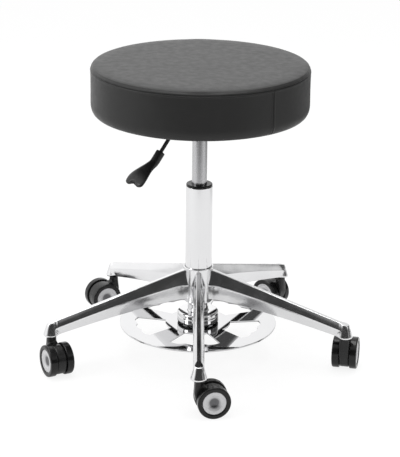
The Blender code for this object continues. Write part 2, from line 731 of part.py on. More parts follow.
def arm_mesh():
    """One arm with its flared caster socket, trimmed flush along its sloping top and bored for the stem."""
    spare = 2 * HUB_EDGE
    inner_end = hub_top_radius - HUB_TOP_WALL
    flare_end = hub_top_radius + ROOT_FLARE_LENGTH
    stations = [inner_end, hub_top_radius, (hub_top_radius + flare_end) / 2, flare_end]
    reach = BASE_RADIUS - stations[-1]
    stations += [stations[-1] + reach * share for share in (0.2, 0.4, 0.6, 0.8, 1.0)]
    arm = place("arm", loft("arm", [arm_section(radius, spare) for radius in stations]), polished_aluminium)
    tip_top = socket_bottom + TIP_HEIGHT
    rise = (hub_top - ARM_ROOT_DROP - tip_top) / (BASE_RADIUS - hub_top_radius)
    cone_top = tip_top + 2 * rise * SOCKET_RIM_RADIUS
    spread = (SOCKET_RIM_RADIUS - SOCKET_TOP_RADIUS) / TIP_HEIGHT
    top_radius = SOCKET_RIM_RADIUS - spread * (cone_top - socket_bottom)
    outline = ((0, cone_top), (top_radius, cone_top), (SOCKET_RIM_RADIUS, socket_bottom), (0, socket_bottom))
    boss = turned("arm_socket", outline, STEPS_TYRE, polished_aluminium, True, location=(BASE_RADIUS, 0, 0))
    combine(arm, boss, "UNION")

    ends = [(x, tip_top + rise * (BASE_RADIUS - x)) for x in (hub_top_radius - HUB_TOP_WALL, 2 * BASE_RADIUS)]
    high = hub_top + BASE_RADIUS
    width = ARM_CREASE_WIDTH * 2
    rings = [[(x, -width, z), (x, width, z), (x, width, high), (x, -width, high)] for x, z in ends]
    trim = place("arm_trim", loft("arm_trim", rings), polished_aluminium)
    combine(arm, trim, "DIFFERENCE")

    stem_bore = cylinder("stem_bore", STEM_RADIUS + CLEARANCE, socket_bottom - STEM_IN_SOCKET,
                         socket_bottom + STEM_IN_SOCKET + CLEARANCE, polished_aluminium, STEPS_ROD,
                         location=(BASE_RADIUS, 0, 0))
    combine(arm, stem_bore, "DIFFERENCE")
    data = evaluated_mesh(arm)
    bpy.data.objects.remove(arm)
    return data


def make_base():
    """Five-arm casting: a hub bored for the column's taper, with the arms joined on."""
    outline = (
        (0, hub_top),
        (hub_top_radius - HUB_EDGE, hub_top),
        (hub_top_radius, hub_top - HUB_EDGE),
        (hub_foot_radius, hub_bottom + HUB_EDGE),
        (hub_foot_radius - HUB_EDGE, hub_bottom),
        (0, hub_bottom),
    )
    arm = arm_mesh()
    base = turned("base_star", outline, STEPS_HOUSING, polished_aluminium, True)
    for i in range(ARM_COUNT):
        turn = FRONT_ARM + 2 * math.pi * i / ARM_COUNT
        piece = place(f"arm_{i + 1}", arm.copy(), polished_aluminium, turn=(0, 0, turn))
        combine(base, piece, "UNION")
    slope = TUBE_TAPER / (hub_top - tube_bottom)
    low = hub_bottom - TUBE_RECESS
    bore_foot = tube_foot_radius + CLEARANCE - slope * (tube_bottom - low)
    bore_top = TUBE_RADIUS + CLEARANCE
    high = hub_top + TUBE_RECESS
    outline = ((0, high), (bore_top, high), (bore_top, hub_top), (bore_foot, low), (0, low))
    bore = turned("hub_bore", outline, STEPS_COLUMN, polished_aluminium, True)
    combine(base, bore, "DIFFERENCE")


def cut_out(turn):
    """Outline of one window in the foot plate: round inner edge, straight sides, scalloped outer edge."""
    points = arc((0, 0), CUT_INNER_RADIUS, turn - CUT_INNER_HALF, turn + CUT_INNER_HALF, 4)
    steps = 4 * SCALLOPS
    for i in range(steps + 1):
        angle = turn + CUT_OUTER_HALF * (1 - 2 * i / steps)
        radius = CUT_OUTER_RADIUS + SCALLOP_DEPTH * abs(math.sin(math.pi * SCALLOPS * i / steps))
        points.append((radius * math.cos(angle), radius * math.sin(angle)))
    return points


def make_foot_release():
    """Release housing under the hub, and the foot plate hung in it on a tilt ring with crossed pins."""
    tappet_hole = tappet_bore
    neck_top = tube_bottom - CLEARANCE
    neck_floor = rod_bottom - 2 * TAPPET_STROKE
    groove_height = HOUSING_HEIGHT / 2
    groove = housing_bottom + groove_height
    outline = (
        (HOUSING_BORE_RADIUS, neck_top),
        (HOUSING_NECK_RADIUS, neck_top),
        (HOUSING_NECK_RADIUS, housing_top + 2 * HOUSING_GROOVE),
        (HOUSING_NECK_RADIUS + 2 * HOUSING_GROOVE, housing_top),
        (HOUSING_RADIUS - 2 * HOUSING_GROOVE, housing_top),
        (HOUSING_RADIUS, housing_top - 2 * HOUSING_GROOVE),
        (HOUSING_RADIUS, groove + HOUSING_GROOVE),
        (HOUSING_RADIUS - HOUSING_GROOVE, groove),
        (HOUSING_RADIUS, groove - HOUSING_GROOVE),
        (HOUSING_RADIUS, housing_bottom),
        (housing_cavity_radius, housing_bottom),
        (housing_cavity_radius, housing_cavity_top),
        (tappet_hole, housing_cavity_top),
        (tappet_hole, neck_floor),
        (HOUSING_BORE_RADIUS, neck_floor),
    )
    housing = turned("release_housing", outline, STEPS_HOUSING, chrome)
    buffer_inner = HOUSING_RADIUS - BUFFER_WIDTH
    outline = (
        (buffer_inner, buffer_top),
        (HOUSING_RADIUS, buffer_top),
        (HOUSING_RADIUS, buffer_bottom),
        (buffer_inner, buffer_bottom),
    )
    turned("buffer_ring", outline, STEPS_HOUSING, rubber)

    centre = pivot("tilt_centre", (0, 0, tilt_height))
    half = TILT_RING_HEIGHT / 2
    outline = (
        (tilt_ring_inner, half),
        (tilt_ring_outer, half),
        (tilt_ring_outer, -half),
        (tilt_ring_inner, -half),
    )
    ring = turned("tilt_ring", outline, STEPS_COLUMN, bright_steel, parent=centre)
    middle = (tilt_ring_inner + tilt_ring_outer) / 2
    hole_radius = TILT_PIN_RADIUS + CLEARANCE
    outer_pin = housing_cavity_radius + TILT_PIN_SEAT
    inner_pin = plate_collar_outer - TILT_PIN_SEAT + CLEARANCE
    for side, turn in (("right", 0), ("left", math.pi)):
        pin = cylinder(f"tilt_pin_{side}", TILT_PIN_RADIUS, middle, outer_pin, bright_steel, parent=centre,
                       turn=(0, QUARTER, turn))
        combine(ring, pin, "UNION")
    for side, turn in (("front", -QUARTER), ("back", QUARTER)):
        pin = cylinder(f"tilt_pin_{side}", TILT_PIN_RADIUS, inner_pin, middle, bright_steel, parent=centre,
                       turn=(0, QUARTER, turn))
        combine(ring, pin, "UNION")
    drill = cylinder("housing_drill", hole_radius, -outer_pin - CLEARANCE, outer_pin + CLEARANCE, chrome,
                     location=(0, 0, tilt_height), turn=ALONG_X)
    combine(housing, drill, "DIFFERENCE")

    top = COLLAR_TOP_OVER_AXIS
    bottom = plate_top + CLEARANCE - tilt_height
    outline = (
        (plate_collar_inner, top),
        (plate_collar_outer, top),
        (plate_collar_outer, bottom),
        (plate_collar_inner, bottom),
    )
    collar = turned("plate_collar", outline, STEPS_COLUMN, bright_steel, parent=centre)
    drill = cylinder("collar_drill", hole_radius, -2 * plate_collar_outer, 2 * plate_collar_outer,
                     bright_steel, parent=centre, turn=ALONG_Y)
    combine(collar, drill, "DIFFERENCE")

    windows = [cut_out(PLATE_TURN + 2 * math.pi * i / CUT_COUNT) for i in range(CUT_COUNT)]
    plate = flat("foot_plate", [circle((0, 0), PLATE_RADIUS, STEPS_PLATE), *windows], PLATE_THICKNESS)
    drop = (plate_top + plate_bottom) / 2 - tilt_height
    place("foot_plate", plate, chrome, centre, (0, 0, drop))

    tip = plate_top + CLEARANCE
    outline = (
        (0, tappet_top),
        (TAPPET_RADIUS, tappet_top),
        (TAPPET_RADIUS, tip + TAPPET_RADIUS),
        (TAPPET_RADIUS * 0.6, tip + TAPPET_RADIUS * 0.3),
        (0, tip),
    )
    turned("foot_tappet", outline, STEPS_SMALL, bright_steel, True)


def hood_outline():
    """Side view of a caster's hood: a disc round the axle that runs up into the neck at the stem."""
    middle = (TRAIL, WHEEL_RADIUS)
    neck_top = WHEEL_RADIUS + STEM_RISE
    points = arc(middle, HOOD_RADIUS, math.radians(-145), math.radians(112), 15)
    shoulder = points[-1]
    points.append((NECK_RADIUS + (shoulder[0] - NECK_RADIUS) * 0.2, shoulder[1] + HOOD_EDGE * 1.6))
    points.append((NECK_RADIUS, shoulder[1] + HOOD_EDGE * 4))
    points += [(NECK_RADIUS, neck_top), (-NECK_RADIUS, neck_top)]
    points.append((-NECK_RADIUS, WHEEL_RADIUS + HOOD_EDGE * 2))
    return points


def make_wheel(name, side, turn, frame):
    """One wheel of a pair: a soft tyre on a dished core, turning on the axle."""
    spot = (TRAIL, side * wheel_offset, WHEEL_RADIUS)
    bore = WHEEL_RADIUS - TYRE_THICKNESS
    lip = TYRE_SHOULDER / 3
    outline = (
        (bore, TYRE_WIDTH - lip / 2),
        (WHEEL_RADIUS - TYRE_SHOULDER, TYRE_WIDTH),
        (WHEEL_RADIUS, TYRE_WIDTH - TYRE_SHOULDER),
        (WHEEL_RADIUS, lip),
        (WHEEL_RADIUS - lip, 0),
        (bore, 0),
    )
    turned(f"caster_{name}_tyre_{'left' if side > 0 else 'right'}", outline, STEPS_TYRE, tread,
           parent=frame, location=spot, turn=turn)
    face = TYRE_WIDTH - lip
    bowl = core_radius - CORE_RIM
    hole = AXLE_RADIUS + CLEARANCE
    axle_end = AXLE_IN_CORE + CLEARANCE
    outline = [(bowl * share, face - CORE_DISH * (1 - share**2)) for share in (0, 0.4, 0.75, 1)]
    outline += [(core_radius, face), (core_radius, lip), (hole, lip), (hole, axle_end), (0, axle_end)]
    turned(f"caster_{name}_core_{'left' if side > 0 else 'right'}", outline, STEPS_CORE, silver_plastic, True,
           parent=frame, location=spot, turn=turn)


def make_caster(name, place_index, yaw):
    """Twin-wheel swivel caster under one arm."""
    direction = FRONT_ARM + 2 * math.pi * place_index / ARM_COUNT
    spot = (BASE_RADIUS * math.cos(direction), BASE_RADIUS * math.sin(direction), 0)
    frame = pivot(f"caster_{name}", spot, (0, 0, yaw))
    hood_data = flat(f"caster_{name}_hood", [hood_outline()], HOOD_WIDTH)
    hood = place(f"caster_{name}_hood", hood_data, black_plastic, frame, turn=AGAINST_Y)
    edge = hood.modifiers.new("edge", "BEVEL")
    edge.width = HOOD_EDGE
    edge.segments = 1
    edge.limit_method = "ANGLE"
    edge.angle_limit = math.radians(60)
    neck_top = WHEEL_RADIUS + STEM_RISE
    stem_bottom = neck_top - STEM_IN_NECK
    stem_top = socket_bottom + STEM_IN_SOCKET
    stem_hole = cylinder(f"stem_hole_{name}", STEM_RADIUS + CLEARANCE, stem_bottom - CLEARANCE,
                         neck_top + STEM_IN_NECK, black_plastic, parent=frame)
    combine(hood, stem_hole, "DIFFERENCE")
    axle_spot = (TRAIL, 0, WHEEL_RADIUS)
    axle_hole = cylinder(f"axle_hole_{name}", AXLE_RADIUS + CLEARANCE, -HOOD_WIDTH, HOOD_WIDTH, black_plastic,
                         parent=frame, location=axle_spot, turn=ALONG_Y)
    combine(hood, axle_hole, "DIFFERENCE")
    outline = (
        (0, stem_top),
        (STEM_RADIUS * 0.7, stem_top),
        (STEM_RADIUS, stem_top - STEM_RADIUS * 0.5),
        (STEM_RADIUS, stem_bottom),
        (0, stem_bottom),
    )
    turned(f"caster_{name}_stem", outline, STEPS_SMALL, bright_steel, True, parent=frame)
    half_axle = wheel_offset + AXLE_IN_CORE
    cylinder(f"caster_{name}_axle", AXLE_RADIUS, -half_axle, half_axle, bright_steel, parent=frame,
             location=axle_spot, turn=ALONG_Y)
    make_wheel(name, 1, ALONG_Y, frame)
    make_wheel(name, -1, AGAINST_Y, frame)


make_seat()
make_lever()
make_column()
make_base()
make_foot_release()
for caster in CASTERS:
    make_caster(*caster)
bpy.context.view_layer.update()
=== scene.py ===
"""Looks of the rolling stool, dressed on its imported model. Metres, +Z up, the front is -Y."""

import math

import bmesh
import bpy
import numpy as np
from mathutils import Matrix, Vector


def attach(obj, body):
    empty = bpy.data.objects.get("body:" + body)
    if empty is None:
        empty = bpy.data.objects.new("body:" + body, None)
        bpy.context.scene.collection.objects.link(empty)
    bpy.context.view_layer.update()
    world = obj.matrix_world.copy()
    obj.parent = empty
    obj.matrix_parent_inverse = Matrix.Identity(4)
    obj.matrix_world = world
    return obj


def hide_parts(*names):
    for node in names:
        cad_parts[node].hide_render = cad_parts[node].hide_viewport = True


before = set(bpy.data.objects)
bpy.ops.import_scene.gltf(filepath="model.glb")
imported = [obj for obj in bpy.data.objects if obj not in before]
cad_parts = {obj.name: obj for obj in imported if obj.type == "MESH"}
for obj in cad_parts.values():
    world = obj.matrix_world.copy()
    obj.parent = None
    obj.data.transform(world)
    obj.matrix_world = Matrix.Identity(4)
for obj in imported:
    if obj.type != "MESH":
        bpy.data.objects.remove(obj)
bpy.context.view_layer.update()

# The studio: a white floor and surround under one large soft light, with a softbox on each side of the front.
# Mirrors also show a dim room in front with two bright boxes, dark cloth and a stand on the right, where the
# white paper ends, and a black flag that lies on it at the back right.
scene = bpy.context.scene
scene.view_settings.view_transform = "Standard"
photo_height, focal_pixels = 457, 1884.45
camera_place = (0.0021, -3.3186, 1.4039)
look_down, roll = math.radians(19.18), math.radians(0.667)
lens = bpy.data.cameras.new("camera")
lens.sensor_fit = "VERTICAL"
lens.sensor_height = 36
lens.lens = focal_pixels * lens.sensor_height / photo_height
camera = bpy.data.objects.new("camera", lens)
camera.matrix_world = (
    Matrix.Translation(camera_place)
    @ Matrix.Rotation(math.pi / 2 - look_down, 4, "X")
    @ Matrix.Rotation(roll, 4, "Z")
)
scene.collection.objects.link(camera)
scene.camera = camera


def soft_light(name, spot, target, size, power):
    """A rectangular light at a spot, its face turned to the target."""
    lamp = bpy.data.lights.new(name, "AREA")
    lamp.shape = "RECTANGLE"
    lamp.size, lamp.size_y = size
    lamp.energy = power
    light = bpy.data.objects.new(name, lamp)
    aim = (Vector(target) - Vector(spot)).to_track_quat("-Z", "Y").to_matrix().to_4x4()
    light.matrix_world = Matrix.Translation(spot) @ aim
    scene.collection.objects.link(light)


stool_middle = (0, 0, 0.3)
soft_light("overhead", (0, 0.2, 2.75), stool_middle, (1.6, 1.6), 32)
soft_light("right_softbox", (1.95, -0.75, 1.15), stool_middle, (0.7, 1.3), 5)
soft_light("left_softbox", (-1.95, -0.75, 1.2), stool_middle, (0.7, 1.3), 12)


def node(tree, kind, inputs=(), **settings):
    """A new node in a tree with its settings. An input gets a plain value or a link from a socket."""
    made = tree.nodes.new(kind)
    for setting, value in settings.items():
        setattr(made, setting, value)
    for slot, value in dict(inputs).items():
        if isinstance(value, bpy.types.NodeSocket):
            tree.links.new(value, made.inputs[slot])
        else:
            made.inputs[slot].default_value = value
    return made


def shown_ray(tree):
    """A tree's light path, and a share that is 1 for the rays that show a surface to the eye, straight,
    mirrored or through glass, and 0 for light."""
    path = node(tree, "ShaderNodeLightPath")
    shown = path.outputs["Is Camera Ray"]
    for ray in ("Is Glossy Ray", "Is Transmission Ray"):
        shown = node(tree, "ShaderNodeMath", {0: shown, 1: path.outputs[ray]}, operation="MAXIMUM").outputs[0]
    return path, shown


def grey(value):
    """A grey as a colour."""
    return (value, value, value, 1)


def matt(tree, value):
    """A matt grey surface."""
    return node(tree, "ShaderNodeBsdfDiffuse", {"Color": grey(value)}).outputs[0]


def glowing(tree, value, strength):
    """A matt grey surface with a white glow on it."""
    glow = node(tree, "ShaderNodeEmission", {"Strength": strength}).outputs[0]
    return node(tree, "ShaderNodeAddShader", {0: matt(tree, value), 1: glow}).outputs[0]


def blend(tree, share, one, other):
    """A surface that goes from one to the other with a share."""
    return node(tree, "ShaderNodeMixShader", {0: share, 1: one, 2: other}).outputs[0]


def span(tree, source, start, end):
    """How far a value has gone from start to end, from 0 to 1 with a soft start and end."""
    limits = {"Value": source, "From Min": start, "From Max": end}
    return node(tree, "ShaderNodeMapRange", limits, interpolation_type="SMOOTHSTEP").outputs["Result"]


floor_reach = 12
lit_grey, seen_grey, seen_glow = 0.8, 0.20, 0.85
mirror_grey, mirror_glow, dark_grey = 0.55, 0.5, 0.07
paper_start, paper_stop = -0.95, -1.45
flag_way, flag_share = (0.20, 0.15, 0), 0.75
flag_ends, flag_middle = (0.22, 0.75), (0.36, 0.55)
floor_data = bpy.data.meshes.new("floor")
floor_corners = [(x * floor_reach, y * floor_reach, 0) for x, y in ((-1, -1), (1, -1), (1, 1), (-1, 1))]
floor_data.from_pydata(floor_corners, [], [(0, 1, 2, 3)])
floor = bpy.data.objects.new("floor", floor_data)
scene.collection.objects.link(floor)
floor_white = bpy.data.materials.new("floor_white")
floor_white.use_nodes = True
paper_tree = floor_white.node_tree
paper_tree.nodes.remove(paper_tree.nodes["Principled BSDF"])
path, shown = shown_ray(paper_tree)
seen_floor = glowing(paper_tree, seen_grey, seen_glow)
plain_floor = blend(paper_tree, shown, matt(paper_tree, lit_grey), seen_floor)
spot = node(paper_tree, "ShaderNodeTexCoord").outputs["Object"]
floor_axes = node(paper_tree, "ShaderNodeSeparateXYZ", {0: spot}).outputs
past_paper = span(paper_tree, floor_axes["Y"], paper_start, paper_stop)
aside = node(paper_tree, "ShaderNodeVectorMath", {0: spot, 1: flag_way}, operation="DOT_PRODUCT")
flag = node(paper_tree, "ShaderNodeValToRGB", {"Fac": aside.outputs["Value"]})
stops = flag.color_ramp.elements
for stop, position in zip(stops, flag_ends):
    stop.position, stop.color = position, grey(0)
for position in flag_middle:
    stops.new(position).color = grey(flag_share)
dark = {0: past_paper, 1: flag.outputs["Color"]}
off_paper = node(paper_tree, "ShaderNodeMath", dark, operation="MAXIMUM").outputs[0]
paper = glowing(paper_tree, mirror_grey, mirror_glow)
mirrored_floor = blend(paper_tree, off_paper, paper, matt(paper_tree, dark_grey))
surface = blend(paper_tree, path.outputs["Is Glossy Ray"], plain_floor, mirrored_floor)
paper_tree.links.new(surface, paper_tree.nodes["Material Output"].inputs["Surface"])
floor_data.materials.append(floor_white)

world = bpy.data.worlds.new("surround")
world.use_nodes = True
scene.world = world
room_tree = world.node_tree
fill = room_tree.nodes["Background"]
fill.inputs["Color"].default_value = grey(1)
fill.inputs["Strength"].default_value = 0.6
white = node(room_tree, "ShaderNodeBackground", {"Color": grey(1)})
direction = node(room_tree, "ShaderNodeTexCoord").outputs["Generated"]
room_axes = node(room_tree, "ShaderNodeSeparateXYZ", {0: direction}).outputs


def toward(axis, start, end):
    """How far a direction has turned along an axis, 0 at start and 1 at end."""
    return span(room_tree, room_axes[axis], start, end)


def overlap(*shares):
    """The product of shares."""
    total = shares[0]
    for share in shares[1:]:
        total = node(room_tree, "ShaderNodeMath", {0: total, 1: share}, operation="MULTIPLY").outputs[0]
    return total


def grey_mix(share, low, high):
    """A grey from low to high with a share; low and high are values or sockets."""
    ends = {slot: grey(end) if isinstance(end, float) else end for slot, end in ((6, low), (7, high))}
    return node(room_tree, "ShaderNodeMix", {0: share, **ends}, data_type="RGBA").outputs[2]


bright_wall, plain_wall, left_wall, dark_cloth = 1.32, 0.82, 1.22, 0.10
dim_front, front_ceiling, bright_box = 0.05, 0.70, 0.95
room = grey_mix(toward("X", -0.12, 0.5), bright_wall, plain_wall)
room = grey_mix(toward("X", -0.35, -0.65), room, left_wall)
upper_right = overlap(toward("X", 0.35, 0.6), toward("Z", 0.11, 0.19))
room = grey_mix(upper_right, room, dark_cloth)
right_stand = overlap(toward("X", 0.88, 0.94), toward("Y", 0.42, 0.30), toward("Z", -0.06, -0.01))
room = grey_mix(right_stand, room, dark_cloth)
front = grey_mix(toward("Z", 0.50, 0.80), dim_front, front_ceiling)
for side in (1, -1):
    box = overlap(toward("X", side * 0.43, side * 0.52), toward("Z", 0.36, 0.46))
    front = grey_mix(box, front, bright_box)
in_front = overlap(toward("Y", -0.2, -0.7), toward("Z", -0.06, 0.01))
mirrored = node(room_tree, "ShaderNodeBackground", {"Color": grey_mix(in_front, room, front)})
path, shown = shown_ray(room_tree)
lighting = blend(room_tree, shown, fill.outputs[0], mirrored.outputs[0])
surround = blend(room_tree, path.outputs["Is Camera Ray"], lighting, white.outputs[0])
room_tree.links.new(surround, room_tree.nodes["World Output"].inputs["Surface"])


# The base: one aluminium casting with a hub, five tapering arms that are hollow underneath and a flared
# socket at each arm's tip, ground and polished by hand, so its gloss varies a little along the arms.
def finish(name, colour, roughness, metallic=0.0, specular=0.5):
    """A new material whose plain values stand on the shader's own sockets."""
    material = bpy.data.materials.new(name)
    material.use_nodes = True
    shader = material.node_tree.nodes["Principled BSDF"]
    shader.inputs["Base Color"].default_value = (*colour, 1)
    shader.inputs["Roughness"].default_value = roughness
    shader.inputs["Metallic"].default_value = metallic
    shader.inputs["Specular IOR Level"].default_value = specular
    return material


def pattern(material, size, stretch=(1, 1, 1), kind="ShaderNodeTexNoise"):
    """A pattern on object coordinates, its features about size metres across, drawn out by stretch."""
    tree = material.node_tree
    place = node(tree, "ShaderNodeTexCoord").outputs["Object"]
    scale = [1 / (size * longer) for longer in stretch]
    mapped = node(tree, "ShaderNodeMapping", {"Vector": place, "Scale": scale}).outputs["Vector"]
    return node(tree, kind, {"Vector": mapped, "Scale": 1}).outputs[0]


def tint(material, source, dark, light):
    """The base colour runs from dark to light with a pattern."""
    tree = material.node_tree
    mix = node(tree, "ShaderNodeMix", {0: source, 6: (*dark, 1), 7: (*light, 1)}, data_type="RGBA")
    tree.links.new(mix.outputs[2], tree.nodes["Principled BSDF"].inputs["Base Color"])


def sway(material, source, socket, low, high, ends=(0.3, 0.7)):
    """A socket's value runs from low to high while a pattern goes from one end to the other."""
    tree = material.node_tree
    labels = ("From Min", "From Max", "To Min", "To Max")
    limits = dict(zip(labels, (*ends, low, high)))
    ramp = node(tree, "ShaderNodeMapRange", {"Value": source, **limits})
    tree.links.new(ramp.outputs["Result"], tree.nodes["Principled BSDF"].inputs[socket])


def relief(material, source, height, strength=1.0):
    """Bumps of a height in metres, laid over those that the material already has."""
    tree = material.node_tree
    normal = tree.nodes["Principled BSDF"].inputs["Normal"]
    bump = node(tree, "ShaderNodeBump", {"Height": source, "Distance": height, "Strength": strength})
    if normal.links:
        tree.links.new(normal.links[0].from_socket, bump.inputs["Normal"])
    tree.links.new(bump.outputs["Normal"], normal)


def skin(points, around=(False, False), caps="", skip=None, coats=None):
    """Vertices, faces, caps and coats of a grid of points: four neighbours make a face. around joins the last
    row or column to the first, caps closes the first and last rows, or the loop of the outer columns, skip
    leaves faces out, and coats says which of the piece's finishes a face has."""
    rows, columns = points.shape[:2]
    index = np.arange(rows * columns).reshape(rows, columns)
    loops = []
    if caps == "rows":
        loops = [index[0], index[-1]]
    elif caps == "columns":
        loops = [np.concatenate([index[:, 0], index[::-1, -1]])]
    if around[0]:
        index = np.vstack([index, index[:1]])
    if around[1]:
        index = np.hstack([index, index[:, :1]])
    faces = np.stack([index[:-1, :-1], index[1:, :-1], index[1:, 1:], index[:-1, 1:]], -1)
    coats = np.zeros(faces.shape[:2], int) if coats is None else coats
    kept = np.ones(faces.shape[:2], bool) if skip is None else ~skip
    return points.reshape(-1, 3), faces[kept], loops, coats[kept]


def seal(data):
    """Merges the points of a mesh that meet and turns its faces outwards."""
    shape = bmesh.new()
    shape.from_mesh(data)
    bmesh.ops.remove_doubles(shape, verts=shape.verts, dist=2e-6)
    bmesh.ops.recalc_face_normals(shape, faces=shape.faces)
    if shape.calc_volume(signed=True) < 0:
        bmesh.ops.reverse_faces(shape, faces=shape.faces)
    shape.to_mesh(data)
    shape.free()


def piece(name, skins, materials, body, slot, *nodes, sharp=32):
    """One object of one or more skins, sealed, with smooth shading except over edges sharper than the angle.
    It rides on a body and stands for CAD nodes."""
    start, corners, coats = 0, [], []
    for points, faces, loops, own_coats in skins:
        corners += (faces + start).tolist() + [(loop + start).tolist() for loop in loops]
        coats += own_coats.tolist() + [0] * len(loops)
        start += len(points)
    data = bpy.data.meshes.new(name)
    data.from_pydata(np.concatenate([points for points, *rest in skins]).tolist(), [], corners)
    data.polygons.foreach_set("material_index", coats)
    seal(data)
    data.polygons.foreach_set("use_smooth", np.ones(len(data.polygons), bool))
    data.set_sharp_from_angle(angle=math.radians(sharp))
    for material in materials:
        data.materials.append(material)
    made = bpy.data.objects.new(name, data)
    scene.collection.objects.link(made)
    even = made.modifiers.new("even_shading", "WEIGHTED_NORMAL")
    even.keep_sharp = True
    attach(made, body)
    if nodes:
        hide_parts(*nodes)
    return made


def rounded(corners, radii, steps=4, closed=False):
    """A path through corners, or many at once, with each corner softened: the path leaves a at the radius
    before the corner c and reaches b at the radius after it along (1-t)^2 a + 2t(1-t) c + t^2 b. A radius
    takes less than half of the shorter run beside it."""
    corners = np.asarray(corners, float)
    radii = np.array(radii, float)
    radii = radii.reshape(radii.shape + (1,) * (corners.ndim - radii.ndim))
    before, after = np.roll(corners, 1, 0) - corners, np.roll(corners, -1, 0) - corners
    if not closed:
        before[0] = after[-1] = 0
        radii[0] = radii[-1] = 0
    runs = [np.maximum(np.linalg.norm(way, axis=-1, keepdims=True), 1e-12) for way in (before, after)]
    reach = np.minimum(radii, 0.48 * np.minimum(*runs))
    start, end = corners + before / runs[0] * reach, corners + after / runs[1] * reach
    t = np.linspace(0, 1, steps + 1).reshape((1, -1) + (1,) * (corners.ndim - 1))
    curve = (1 - t) ** 2 * start[:, None] + 2 * t * (1 - t) * corners[:, None] + t**2 * end[:, None]
    return curve.reshape((-1,) + corners.shape[1:])


def carried_round(profile, angle):
    """A profile of (radius, height) carried round the Z axis: (r cos a, r sin a, h) at each angle."""
    profile = np.asarray(profile, float)
    radius, height = profile[:, :1], profile[:, 1:]
    return np.stack([radius * np.cos(angle), radius * np.sin(angle), height + 0 * angle], -1)


def turned(profile, steps):
    """A profile carried all the way round in even steps."""
    return carried_round(profile, np.linspace(0, 2 * math.pi, steps, endpoint=False))


def turn_about_z(angle):
    """The matrix of a turn about the Z axis."""
    cos, sin = math.cos(angle), math.sin(angle)
    return np.array([[cos, -sin, 0], [sin, cos, 0], [0, 0, 1]])


def ease(value, start, end):
    """0 before start and 1 after end, with 3t^2 - 2t^3 between them."""
    t = np.clip((value - start) / (end - start), 0, 1)
    return t * t * (3 - 2 * t)


arm_count, front_arm, base_radius = 5, math.radians(-89.4), 0.2854
hub_bottom, hub_top, hub_radius, hub_foot = 0.1080, 0.1770, 0.0285, 0.0268
hub_bore, hub_bore_foot = 0.0256, 0.0226
arm_start, root_length, root_flare = 0.0262, 0.016, 0.35
arm_top, arm_crease, arm_foot = 0.1715, 0.1435, 0.1148  # heights at the hub
crease_low, crease_fall, foot_fall = 0.0833, 1.25, 1.35
top_half, crease_half, foot_half = 0.0040, 0.0103, 0.0080
top_tip, crease_tip, crease_fillet, arm_fillet = 0.0078, 0.01146, 0.040, 0.025
arm_wall, roof_wall, channel_depth = 0.0030, 0.0045, 0.0110
channel_fade, channel_end, lip_start, lip_full = 0.075, 0.028, 0.030, 0.010  # distances from the stem
upper_bulge, lower_bulge = 0.0004, 0.0003
edge_soft, flank_soft, crease_soft, lip_soft = 0.0012, 0.02, 0.0022, 0.0046
socket_bottom, socket_top, socket_rim = 0.0688, 0.0955, 0.0158
stem_bore, stem_bore_top = 0.0058, 0.0896
root_share, root_points, run_points = 0.08, 8, 30


def edge_plan(half_width, tip_radius, fillet):
    """Plan of an arm's right edge as x, y: a straight run from the hub that flares at its root, a hollow
    fillet arc, then the tip's circle to the far end. The run's last point stands there three times."""
    run_end = base_radius - math.sqrt((tip_radius + fillet) ** 2 - (half_width + fillet) ** 2)
    root = np.linspace(0, root_share, root_points, endpoint=False)
    share = np.concatenate([root, np.linspace(root_share, 1, run_points), [1, 1]])
    x = hub_radius + (run_end - hub_radius) * share
    y = half_width * (1 + root_flare * np.clip(1 - (x - hub_radius) / root_length, 0, 1) ** 2)
    x[0] = math.sqrt(arm_start**2 - y[0] ** 2)
    meet = math.atan2(half_width + fillet, run_end - base_radius)
    hollow = np.linspace(-math.pi / 2, meet - math.pi, 9)[1:]
    outer = np.linspace(meet, 0, 17)[1:]
    x = np.concatenate([x, run_end + fillet * np.cos(hollow), base_radius + tip_radius * np.cos(outer)])
    y = np.concatenate([y, half_width + fillet + fillet * np.sin(hollow), tip_radius * np.sin(outer)])
    return x, y


def top_height(x):
    """An arm's straight top line."""
    return arm_top + (socket_top - arm_top) * (x - hub_radius) / (base_radius - hub_radius)


def edge_height(x, root, tip, fall):
    """A lower edge of an arm: root + (tip - root) t^fall, t the way from the hub to the socket."""
    way = np.clip((x - hub_radius) / (base_radius - hub_radius), 0, 1)
    return root + (tip - root) * way**fall


def foot_height(x):
    """An arm's foot line."""
    return edge_height(x, arm_foot, socket_bottom, foot_fall)


